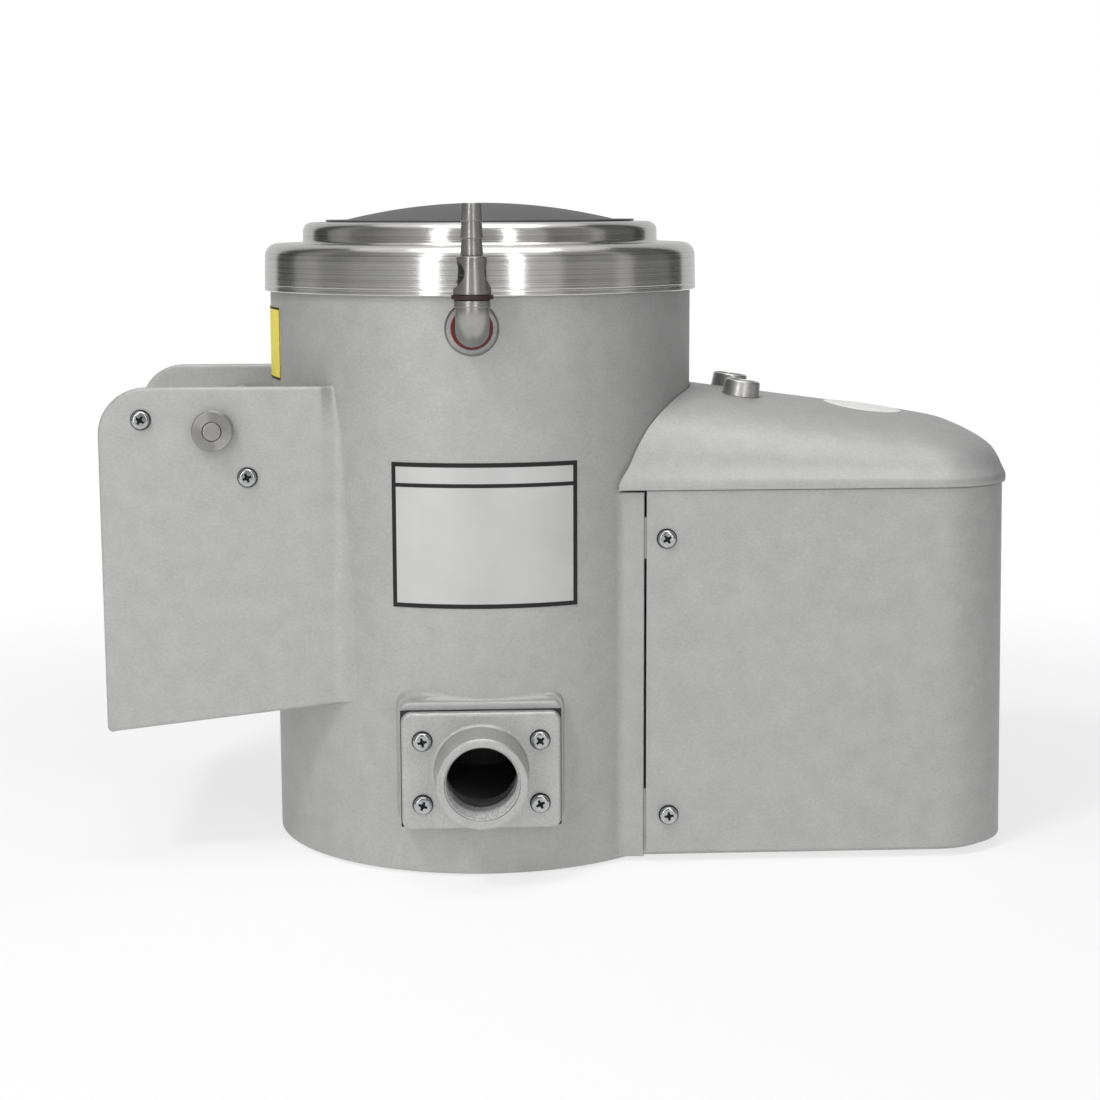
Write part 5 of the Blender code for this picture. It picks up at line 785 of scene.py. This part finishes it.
# Water inlet: elbow through the drum, sealing washers, air gap and hose tail
inlet = settings(x=-0.0085, z=0.3567, spotFace=0.1418, hole=0.0109, radius=0.01065, bore=0.0075, bend=0.014,
    axis=0.177, top=0.3763, inner=0.1297, straight=0.145, washer=0.0135, washerThick=0.002, ring=0.01315,
    ringThick=0.0026, tailLength=0.032, tailRadius=0.007, tailBore=0.004, barbs=3, collar=0.0114,
    collarDeep=0.0046)
airGap = settings(rise=0.0234, foot=0.012, top=0.0096, bore=0.0055, window=0.0085, middle=0.51, turn=10.5,
    insert=((0.05, 0.0092), (0.51, 0.0088), (0.95, 0.0084)), band=(0.008, 0.0094, 0.0002))


def washerAt(outer, inner, low, high, lowRound, highRound, innerRound=0, steps=4):
    return softened([(outer, low, lowRound), (outer, high, highRound), (inner, high, innerRound),
        (inner, low, 0)], steps)


def makeInlet():
    n, g = inlet, airGap
    spot = movedTo(n.x, -n.axis, 0)
    seat = n.spotFace + gap
    washer = washerAt(n.washer, n.radius + gap, seat, seat + n.washerThick, 0.0003, 0.0006)
    place("inletWasherRing", lathe(washer, 64, True, facing(n.x, n.z)), redFibre, "inlet_washer")
    centreY, centreZ = -(n.axis - n.bend), n.z + n.bend
    path = [(n.x, -n.inner, n.z), (n.x, -n.straight, n.z)]
    for k in range(17):
        turn = radians(270 - 90 * k / 16)
        path.append((n.x, centreY + n.bend * cos(turn), centreZ + n.bend * sin(turn)))
    path.append((n.x, -n.axis, n.top))
    bore = [(n.x, -0.125, n.z)] + path[1:-1] + [(n.x, -n.axis, n.top + 0.004)]
    elbow = solved(tube(path, n.radius, 48), [tube(bore, n.bore, 32)])
    collar = lathe(washerAt(n.collar, n.bore, n.top - n.collarDeep, n.top, 0.0004, 0.0006, 0.0003), 64, True,
        spot)
    place("inletElbowPipe", joined(elbow, collar), satinStainless, "inlet_elbow")
    foot = n.top + gap
    ring = washerAt(n.ring, n.bore, foot, foot + n.ringThick, 0.0004, 0.0004)
    place("inletRingSeal", lathe(ring, 64, True, spot), soakedFibre, "inlet_ring")
    foot += n.ringThick + gap
    body = softened([(g.foot, foot, 0.0004), (g.foot, foot + 0.1 * g.rise, 0.004),
        (g.top, foot + 0.86 * g.rise, 0.004), (g.top, foot + g.rise, 0.0012), (g.bore, foot + g.rise, 0),
        (g.bore, foot, 0)], 6)
    middle = foot + g.middle * g.rise
    across = movedTo(n.x, -n.axis, middle) @ turnedBy(g.turn, "Z") @ turnedBy(90, "Y")
    shell = solved(lathe(body, 64, True, spot), [rod(g.window, -0.02, 0.02, 64, across)], "MANIFOLD")
    place("airGapBody", shell, turnedStainless, "air_gap_body")
    # Painted shade: a black core fills the cross hole, so that the window reads as the shadow inside it
    insert = [(radius, foot + share * g.rise) for share, radius in g.insert]
    insert = [(0, insert[0][1])] + insert + [(0, insert[-1][1])]
    place("airGapInsert", lathe(insert, 48, axis=spot), blackNylon)
    inner, outer, half = g.band
    band = [(inner, middle - half), (outer, middle - half), (outer, middle + half), (inner, middle + half)]
    place("airGapRing", lathe(band, 48, True, spot), satinStainless)
    foot += g.rise + gap
    pitch, radius, end = n.tailLength / n.barbs, n.tailRadius, foot + n.tailLength
    corners = [(n.tailBore, foot, 0), (radius, foot, 0.0003)]
    for k in range(n.barbs):
        low = foot + k * pitch
        corners += [(radius, low + 0.0015, 0.0004), (radius - 0.0007, low + pitch - 0.0004, 0.0002)]
        if k + 1 < n.barbs:
            corners.append((radius, low + pitch, 0.0003))
    corners += [(radius - 0.0012, end, 0.0004), (n.tailBore, end, 0.0002)]
    place("hoseTailBarbed", lathe(softened(corners, 4), 48, True, spot), turnedStainless, "hose_tail")


# Door with its arms, shaft, collar and lever
door = settings(x=-0.176, z=0.2905, inner=0.1456, sheet=0.0044, half=0.0915, low=0.1215, high=0.246,
    arms=(-0.0965, 0.0905), armThick=0.006, shaft=0.006, bore=0.0063, seat=0.1118, collar=0.01325,
    collarLength=0.01, hub=0.0125, hubLength=0.012, rod=0.005, knob=0.016, knobY=0.1478, knobZ=0.178)


def makeDoor():
    d = door
    x, z, axis = d.x, d.z, facing(d.x, d.z)
    reach = asin(d.half / (d.inner + d.sheet))
    turns = [pi - reach + 2 * reach * k / 40 for k in range(41)]
    sides = ((d.inner, turns), (d.inner + d.sheet, turns[::-1]))
    outline = [(radius * cos(t), radius * sin(t)) for radius, order in sides for t in order]
    panel = slab(outline, d.low, d.high, 0.0006, 0.0006, 3)
    edge = -sqrt((d.inner + gap) ** 2 - (d.half - 0.001) ** 2)
    arm = softened([(x + 0.0128, z + 0.002, 0), (x + 0.0098, z + 0.0098, 0.006), (x, z + 0.0134, 0.009),
        (x - 0.0098, z + 0.0098, 0.006), (x - 0.0136, z, 0.008), (x - 0.0172, z - 0.0309, 0.02),
        (x - 0.0172, d.high - 0.004, 0.01), (edge - 0.03, 0.18375, 0.05), (edge - 0.014, d.low, 0.004),
        (edge, d.low, 0), (edge, d.high, 0), (x + 0.0161, d.high + 0.004, 0.003),
        (x + 0.0161, z - 0.0155, 0.003)], 6)
    bore = [rod(d.bore, -0.11, 0.11, 32, axis)]
    arms = [solved(slab(arm, low, low + d.armThick, 0.0006, 0.0006, 3, facing(0, 0)), bore) for low in d.arms]
    place("doorPanelCurved", joined(panel, *arms), castAluminium, "door_panel", body="door")
    near, far = d.seat + d.collarLength, -d.seat - d.hubLength
    shaft = softened([(0, near + 0.0002, 0), (d.shaft, near + 0.0002, 0.0007), (d.shaft, far, 0.0007),
        (0, far, 0)], 5, closed=False)
    place("doorShaftRod", lathe(shaft, 48, axis=axis), satinStainless, "door_shaft", body="door")
    collar = washerAt(d.collar, d.shaft + gap, d.seat, near, 0.0006, 0.0009, 0.0004, 5)
    place("doorCollarTurned", lathe(collar, 96, True, axis), turnedStainless, "door_collar", body="door")
    hub = washerAt(d.hub, d.shaft + gap, -d.seat, far, 0.0008, 0.0012, 0.0003, 5)
    hubY = d.seat + d.hubLength / 2
    root = z - d.hub + 0.002
    rodEnd = d.knobZ + d.knob - 0.008
    bends = [(hubY, root, 0.012), (hubY, root - 0.016, 0.012), (d.knobY, rodEnd + 0.016, 0.012),
        (d.knobY, rodEnd, 0.012)]
    stem = tube([(x, y, h) for y, h in softened(bends, 8, closed=False)], d.rod, 32)
    place("doorLeverRod", joined(lathe(hub, 64, True, axis), stem), satinStainless, "door_lever", body="door")
    ball = [(d.knob * sin(pi * k / 32), d.knobZ + d.knob * cos(pi * k / 32)) for k in range(33)]
    ball[0], ball[-1] = (0, ball[0][1]), (0, ball[-1][1])
    upright = movedTo(x, d.knobY, 0)
    socket = rod(d.rod + gap, rodEnd - gap, 0.2, 32, upright)
    place("leverKnobBall", solved(lathe(ball, 48, axis=upright), [socket]), blackNylon, "lever_knob",
        body="door")


# Pan head screws, one head placed at every point by Geometry Nodes
screw = settings(radius=0.006, height=0.0042, round=0.0024, shank=0.003, length=0.01, recess=0.0037,
    recessDepth=0.0022, recessWide=0.0009, cone=0.0021, seat=0.0067, seatHigh=0.0002)
screwPlaces = (  # x, z, distance of the seat from the drum's axis, side, turn in degrees, node
    (-0.043, 0.093, 0.1573, -1, 12, "drain_screw_1"), (0.033, 0.093, 0.1573, -1, 41, "drain_screw_2"),
    (-0.043, 0.051, 0.1573, -1, 68, "drain_screw_3"), (0.033, 0.051, 0.1573, -1, 27, "drain_screw_4"),
    (0.1186, 0.2173, 0.1178, -1, 33, "cover_screw_near_upper"),
    (0.1205, 0.0306, 0.1178, -1, 7, "cover_screw_near_lower"),
    (0.1186, 0.2173, 0.1178, 1, 51, "cover_screw_far_upper"),
    (0.1205, 0.0306, 0.1178, 1, 19, "cover_screw_far_lower"),
    (-0.1546, 0.2596, 0.1118, -1, 22, "closed_stop_screw"),
    (-0.2224, 0.2976, 0.1118, -1, 58, "open_stop_screw"))


def screwMesh():
    s = screw
    head = lathe(softened([(0, s.height, 0), (s.radius, s.height - 0.0002, s.round), (s.radius, 0, 0.0003),
        (s.shank, 0, 0), (s.shank, -s.length, 0.0004), (0, -s.length, 0)], 6, closed=False), 40)
    floor, above = s.height - s.recessDepth, s.height + 0.001
    cross = ((s.recess * 0.45, s.recessWide * 0.7, floor), (s.recess, s.recessWide, above))
    tools = []
    for turn in (0, 90):
        wing = loft([[(-w, -t, z), (w, -t, z), (w, t, z), (-w, t, z)] for w, t, z in cross])
        wing.transform(turnedBy(turn, "Z"))
        tools.append(wing)
    tools.append(lathe([(0, floor - 0.0006), (0.0009, floor), (s.cone, above), (0, above)], 16))
    inner = s.radius - 0.0004  # a painted shadow line under the head
    seat = lathe([(inner, 0.00002), (s.seat, 0.00002), (s.seat, s.seatHigh), (inner, s.seatHigh)], 40, True)
    mesh = joined(solved(head, tools), seat)
    # faces marked dark, the recesses and the thin ring under the head, take the painted shade finish
    dark = mesh.attributes.new("dark", "BOOLEAN", "FACE")
    for polygon in mesh.polygons:
        x, y, z = polygon.center
        reach = hypot(x, y)
        sunk = reach < s.recess and 0.001 < z < s.height - 0.00015 - 0.0004 * (reach / s.recess) ** 2
        dark.data[polygon.index].value = sunk or 0 < z <= s.seatHigh
    return mesh


def screwTree():
    tree, add, given = groupOf("placeScrews", {"Screw": "Object", "Head scale": "Float", "Finish": "Material",
        "Painted shade finish": "Material"})
    item = add("ObjectInfo", links={"Object": given["Screw"]})
    aim = add("InputNamedAttribute", {"data_type": "FLOAT_VECTOR", "Name": "aim"})
    points = add("InstanceOnPoints", links={"Points": given["Geometry"],
        "Instance": item.outputs["Geometry"], "Rotation": aim, "Scale": given["Head scale"]})
    real = add("RealizeInstances", links={"Geometry": points})
    finish = add("SetMaterial", links={"Geometry": real, "Material": given["Finish"]})
    # painted shade: the faces marked dark get the near-black finish
    dark = add("InputNamedAttribute", {"data_type": "BOOLEAN", "Name": "dark"})
    recess = add("SetMaterial", links={"Geometry": finish, "Selection": dark,
        "Material": given["Painted shade finish"]})
    add("NodeGroupOutput", links={"Geometry": recess})
    return tree


def makeScrews():
    mesh = bpy.data.meshes.new("screwPoints")
    mesh.from_pydata([(x, side * seat, z) for x, z, seat, side, turn, node in screwPlaces], [], [])
    aims = mesh.attributes.new("aim", "FLOAT_VECTOR", "POINT")
    for entry, (x, z, seat, side, turn, node) in zip(aims.data, screwPlaces):
        entry.vector = (turnedBy(-90 * side, "X") @ turnedBy(turn, "Z")).to_euler()
    pattern = shown("screwPattern", screwMesh())
    pattern.data.polygons.foreach_set("use_smooth", [True] * len(pattern.data.polygons))
    pattern.data.set_sharp_from_angle(angle=sharpEdge)
    result = grown(screwTree(), {"Screw": pattern, "Head scale": 1.0, "Finish": zincSteel,
        "Painted shade finish": paintedShadeZinc}, mesh)
    bpy.data.objects.remove(pattern, do_unlink=True)
    place("panHeadScrews", result, [zincSteel, paintedShadeZinc], *[row[-1] for row in screwPlaces])


# Rubber feet and the cable gland
foot = settings(radius=0.014, stud=0.004, top=0.0027, low=-0.002, round=0.001, studTop=0.0127,
    places=(("foot_front_left", -0.083, -0.083), ("foot_back_left", -0.083, 0.083),
    ("foot_front_right", 0.318, -0.082), ("foot_back_right", 0.318, 0.082)))
gland = settings(x=0.29, z=0.082, seat=0.1178, nut=0.0115, nutLength=0.008, dome=0.0104, length=0.022,
    bore=0.0045, thread=0.008, inside=0.1045, nutBore=0.0085)


def makeSmallParts():
    f, g = foot, gland
    shape = softened([(0, f.studTop, 0), (f.stud, f.studTop, 0.0004), (f.stud, f.top, 0),
        (f.radius, f.top, 0.0006), (f.radius, f.low, f.round), (0, f.low, 0)], 4, closed=False)
    for node, x, y in f.places:
        first, *others = node.split("_")
        name = first + "".join(word.title() for word in others) + "Pad"
        place(name, lathe(shape, 48, axis=movedTo(x, y, 0)), blackRubber, node)
    axis = facing(g.x, g.z, True)
    end = g.seat + g.length
    dome = softened([(g.dome, g.seat + 0.007, 0), (g.dome, end - 0.009, 0.002), (g.dome - 0.0035, end, 0.002),
        (g.bore, end, 0.0008), (g.bore, g.inside, 0), (g.thread, g.inside, 0.0005),
        (g.thread, g.seat + 0.001, 0), (g.dome, g.seat + 0.001, 0)], 6)
    hexagon = [(g.nut * cos(tau * k / 6), g.nut * sin(tau * k / 6), 0.0012) for k in range(6)]
    nut = slab(softened(hexagon, 3), g.seat, g.seat + g.nutLength, 0.0006, 0.0008, 3, axis)
    nut = solved(nut, [rod(g.nutBore, 0.1, 0.14, 48, axis)])
    place("cableGlandNut", joined(lathe(dome, 64, True, axis), nut), blackNylon, "cable_gland")


# Bare plates: one on the drum's front, one above the chute, and the disc on the lid
frontPlate = settings(radius=0.14515, thick=0.0005, left=-0.0605, right=0.0585, low=0.177, high=0.2713,
    border=0.0029, rule=0.2579, ruleWidth=0.0026)
chutePlate = settings(radius=0.14515, thick=0.0004, spread=21.0, low=0.318, high=0.3666, border=0.0016)
lidDisc = settings(x=0.267, y=-0.009, radius=0.027, thick=0.0008)


def curvedPlate(name, plate, start, end, parts, heights, finishes):  # every other row and both ends are inked
    thin = plate.border / drum.radius
    run = end - start - 2 * thin
    angles = [start] + [start + thin + run * k / parts for k in range(parts + 1)] + [end]
    body = bmesh.new()
    inner, outer = ([[body.verts.new((r * cos(a), r * sin(a), z)) for z in heights] for a in angles]
        for r in (plate.radius, plate.radius + plate.thick))
    columns, rows = range(len(angles) - 1), range(len(heights) - 1)
    for i in columns:
        for j in rows:
            face = body.faces.new((outer[i][j], outer[i + 1][j], outer[i + 1][j + 1], outer[i][j + 1]))
            face.material_index = 1 if i in (0, columns[-1]) or j % 2 == 0 else 0
            body.faces.new((inner[i][j], inner[i][j + 1], inner[i + 1][j + 1], inner[i + 1][j]))
    for i in columns:
        body.faces.new((inner[i][0], inner[i + 1][0], outer[i + 1][0], outer[i][0]))
        body.faces.new((inner[i][-1], outer[i][-1], outer[i + 1][-1], inner[i + 1][-1]))
    for j in rows:
        body.faces.new((inner[0][j], outer[0][j], outer[0][j + 1], inner[0][j + 1]))
        body.faces.new((inner[-1][j], inner[-1][j + 1], outer[-1][j + 1], outer[-1][j]))
    place(name, meshFrom(body), finishes)


def makePlates():
    p, c = frontPlate, chutePlate
    start, end = (asin(x / drum.radius) - pi / 2 for x in (p.left, p.right))
    heights = [p.low, p.low + p.border, p.rule - p.ruleWidth, p.rule, p.high - p.border, p.high]
    curvedPlate("frontPlateBare", p, start, end, 48, heights, [silverPlate, plateInk])
    spread = radians(c.spread)
    heights = [c.low, c.low + c.border, c.high - c.border, c.high]
    curvedPlate("chutePlateBare", c, pi - spread, pi + spread, 40, heights, [yellowVinyl, plateInk])


def makeLidDisc():
    d, tree = lidDisc, lidShape["tree"]
    body = bmesh.new()
    rows = []
    for share, drop in ((0.0, 0), (0.4, 0), (0.75, 0), (0.94, 0), (1.0, 0.0002), (1.0, d.thick + 0.0003)):
        ring = []
        for k in range(72 if share else 1):
            x = d.x + d.radius * share * cos(tau * k / 72)
            y = d.y + d.radius * share * sin(tau * k / 72)
            hit = tree.ray_cast(Vector((x, y, 0.5)), Vector((0, 0, -1)))[0]
            ring.append(body.verts.new((x, y, hit.z + d.thick - drop)))
        rows.append(ring)
    for a, b in zip(rows, rows[1:]):
        for k in range(72):
            j = (k + 1) % 72
            body.faces.new((a[0], b[k], b[j]) if len(a) == 1 else (a[k], b[k], b[j], a[j]))
    body.faces.new(rows[-1][::-1])
    place("lidDiscBare", meshFrom(body), paleDisc)


# What stays as the solids made it, under covers or inside the drum
kept = (
    (satinStainless, "underside_plate inlet_lock_nut closed_stop open_stop lower_bearing upper_bearing"),
    (satinStainless, "spindle motor_shaft"),
    (blackNylon, "start_contact stop_contact motor_fan"),
    (castAluminium, "bearing_housing driven_pulley motor_pulley"),
    (zincSteel, "housing_bolt_1 housing_bolt_2 housing_bolt_3 motor_bolt_1 motor_bolt_2"),
    (blackRubber, "spindle_seal drive_belt"),
    (gritCoating, "rotor_plate"),
    (motorEnamel, "motor_frame fan_cowl"))


def dressKept():
    for finish, nodes in kept:
        for node in nodes.split():
            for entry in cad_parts[node].material_slots:
                entry.material = finish


# Studio: floor, soft lamps, white surround, the room that the metal reflects, and the camera
studio = settings(world="#737476", worldStrength=1.0, floor="#f4f4f3", floorNear=0.72, fadeFrom=0.45,
    fadeTo=1.1, top=((0.0, -0.35, 2.1), (0.0, 0.0, 0.2), (1.5, 0.8), 12.0),
    lamps=(  # name, angle right of the camera, distance, level, width, height, power, seen in metal
        ("leftStrip", -26.5, 1.95, 0.95, 0.2, 1.7, 8.0, True),
        ("rightStrip", 17.0, 1.95, 0.95, 0.16, 1.7, 5.0, True),
        ("leftFill", -64.0, 2.0, 0.9, 1.2, 1.4, 7.0, False),
        ("frontFill", 8.0, 2.2, 1.2, 1.4, 1.2, 5.0, False),
        ("key", -36.0, 1.6, 2.1, 0.4, 0.4, 23.0, False)))
room = settings(radius=2.3, high=3.3, bands=(  # angle right of the camera, and how bright
    (-180, 0.66), (-135, 0.62), (-133, 0.05), (-114, 0.07), (-112, 0.26), (-96, 0.32), (-88, 0.17),
    (-76, 0.17), (-60, 0.26), (-45, 0.36), (-34, 0.46), (-20, 0.36), (0, 0.32), (12, 0.36), (22, 0.46),
    (40, 0.42), (42, 0.15), (52, 0.17), (54, 0.2), (72, 0.22), (74, 0.4), (83, 0.36), (85, 0.12),
    (114, 0.14), (116, 0.05), (129, 0.05), (131, 0.6), (180, 0.66)))
view = settings(location=(-0.08135, -1.535225, 0.4334), yaw=2.817, pitch=8.763, roll=-0.211,
    focalPixels=2212.97, framePixels=1100, sensor=36.0)  # solved from the drum's ellipses in the photo


def cameraLike():
    v = view
    data = bpy.data.cameras.new("view")
    data.sensor_width, data.lens = v.sensor, v.focalPixels / v.framePixels * v.sensor
    data.clip_start, data.clip_end = 0.05, 50.0
    camera = shown("view", data)
    aim = turnedBy(-v.yaw, "Z") @ turnedBy(90 - v.pitch, "X") @ turnedBy(v.roll, "Z")
    camera.matrix_world = movedTo(*v.location) @ aim
    bpy.context.scene.camera = camera


def whiteRays(add):  # 1 for rays from the eye, a mirror or glass
    light = add("LightPath")
    first = add("Math", {"operation": "MAXIMUM"}, {0: light.outputs["Is Camera Ray"],
        1: light.outputs["Is Glossy Ray"]})
    return add("Math", {"operation": "MAXIMUM"}, {0: first, 1: light.outputs["Is Transmission Ray"]})


def makeStudio():
    s = studio
    world = bpy.data.worlds.new("surround")
    add = emptied(world)
    mix = add("Mix", {"data_type": "RGBA", 6: linear(s.world), 7: (1, 1, 1, 1)}, {0: whiteRays(add)})
    ground = add("Background", {"Strength": s.worldStrength}, {"Color": mix.outputs[2]})
    add("OutputWorld", links={0: ground})
    bpy.context.scene.world = world
    bpy.context.scene.view_settings.view_transform = "Standard"
    body = bmesh.new()
    bmesh.ops.create_grid(body, x_segments=8, y_segments=8, size=6.0)
    floorPiece = shown("floor", meshFrom(body, False))
    material = bpy.data.materials.new("paleFloor")
    add = emptied(material)
    plain = add("BsdfDiffuse", {"Color": linear(s.floor)})
    white = add("Emission", {"Color": (1, 1, 1, 1), "Strength": 1.0})
    where = add("TexCoord")
    reach = add("VectorMath", {"operation": "LENGTH"}, {0: where.outputs["Object"]})
    fade = add("MapRange", {"interpolation_type": "SMOOTHSTEP", "From Min": s.fadeFrom,
        "From Max": s.fadeTo, "To Min": s.floorNear, "To Max": 1.0}, {"Value": reach.outputs["Value"]})
    share = add("Math", {"operation": "MULTIPLY"}, {0: whiteRays(add), 1: fade})
    mixed = add("MixShader", links={0: share, 1: plain, 2: white})
    add("OutputMaterial", links={0: mixed})
    floorPiece.data.materials.append(material)
    for name, angle, distance, level, wide, tall, power, seen in s.lamps:
        aim = drumHome + Vector((0, 0, 0.2 if level > 1.5 else level * 0.55))  # a high lamp aims low
        lamp = addLamp(name, roundDrum(angle, distance, level), aim, (wide, tall), power)
        lamp.visible_glossy = seen
    addLamp("top", *s.top)


def roundDrum(angle, distance, height):  # angle to the right of the camera
    turn = radians(angle)
    return drumHome + Vector((sin(turn) * distance, -cos(turn) * distance, height))


def addLamp(name, spot, aim, size, power):
    data = bpy.data.lights.new(name, "AREA")
    data.shape, data.energy = "RECTANGLE", power
    data.size, data.size_y = size
    lamp = shown(name, data)
    turn = (Vector(aim) - Vector(spot)).to_track_quat("-Z", "Y").to_matrix().to_4x4()
    lamp.matrix_world = Matrix.Translation(spot) @ turn
    return lamp


def makeRoom():  # seen by mirror rays alone, as the dim room round a photographer's table
    body = bmesh.new()
    layer = body.verts.layers.float.new("glow")
    columns = []
    for angle, glow in room.bands:
        column = [body.verts.new(roundDrum(angle, room.radius, z)) for z in (-0.01, room.high)]
        for vert in column:
            vert[layer] = glow
        columns.append(column)
    for a, b in zip(columns, columns[1:]):
        body.faces.new((a[0], b[0], b[1], a[1]))
    wall = shown("roomWall", meshFrom(body, False))
    material = bpy.data.materials.new("roomWall")
    add = emptied(material)
    glow = add("Attribute", {"attribute_name": "glow"})
    shine = add("Emission", links={"Strength": glow.outputs["Fac"]})
    add("OutputMaterial", links={0: shine})
    wall.data.materials.append(material)
    for kind in ("camera", "diffuse", "transmission", "volume_scatter", "shadow"):
        setattr(wall, "visible_" + kind, False)


cameraLike()
makeDrum()
makeWings()
makePad()
makeBay()
print("casting made")
makeMotorCover()
makeControlCover()
makeButtons()
print("motor cover, control cover and buttons made")
makeTopCover()
makeRubberLid()
print("spun cover and rubber lid made")
makeDrain()
makeInlet()
makeDoor()
makeScrews()
makeSmallParts()
makePlates()
makeLidDisc()
print("drain, inlet, door, screws and plates made")
dressKept()
makeStudio()
makeRoom()
print("studio lit")
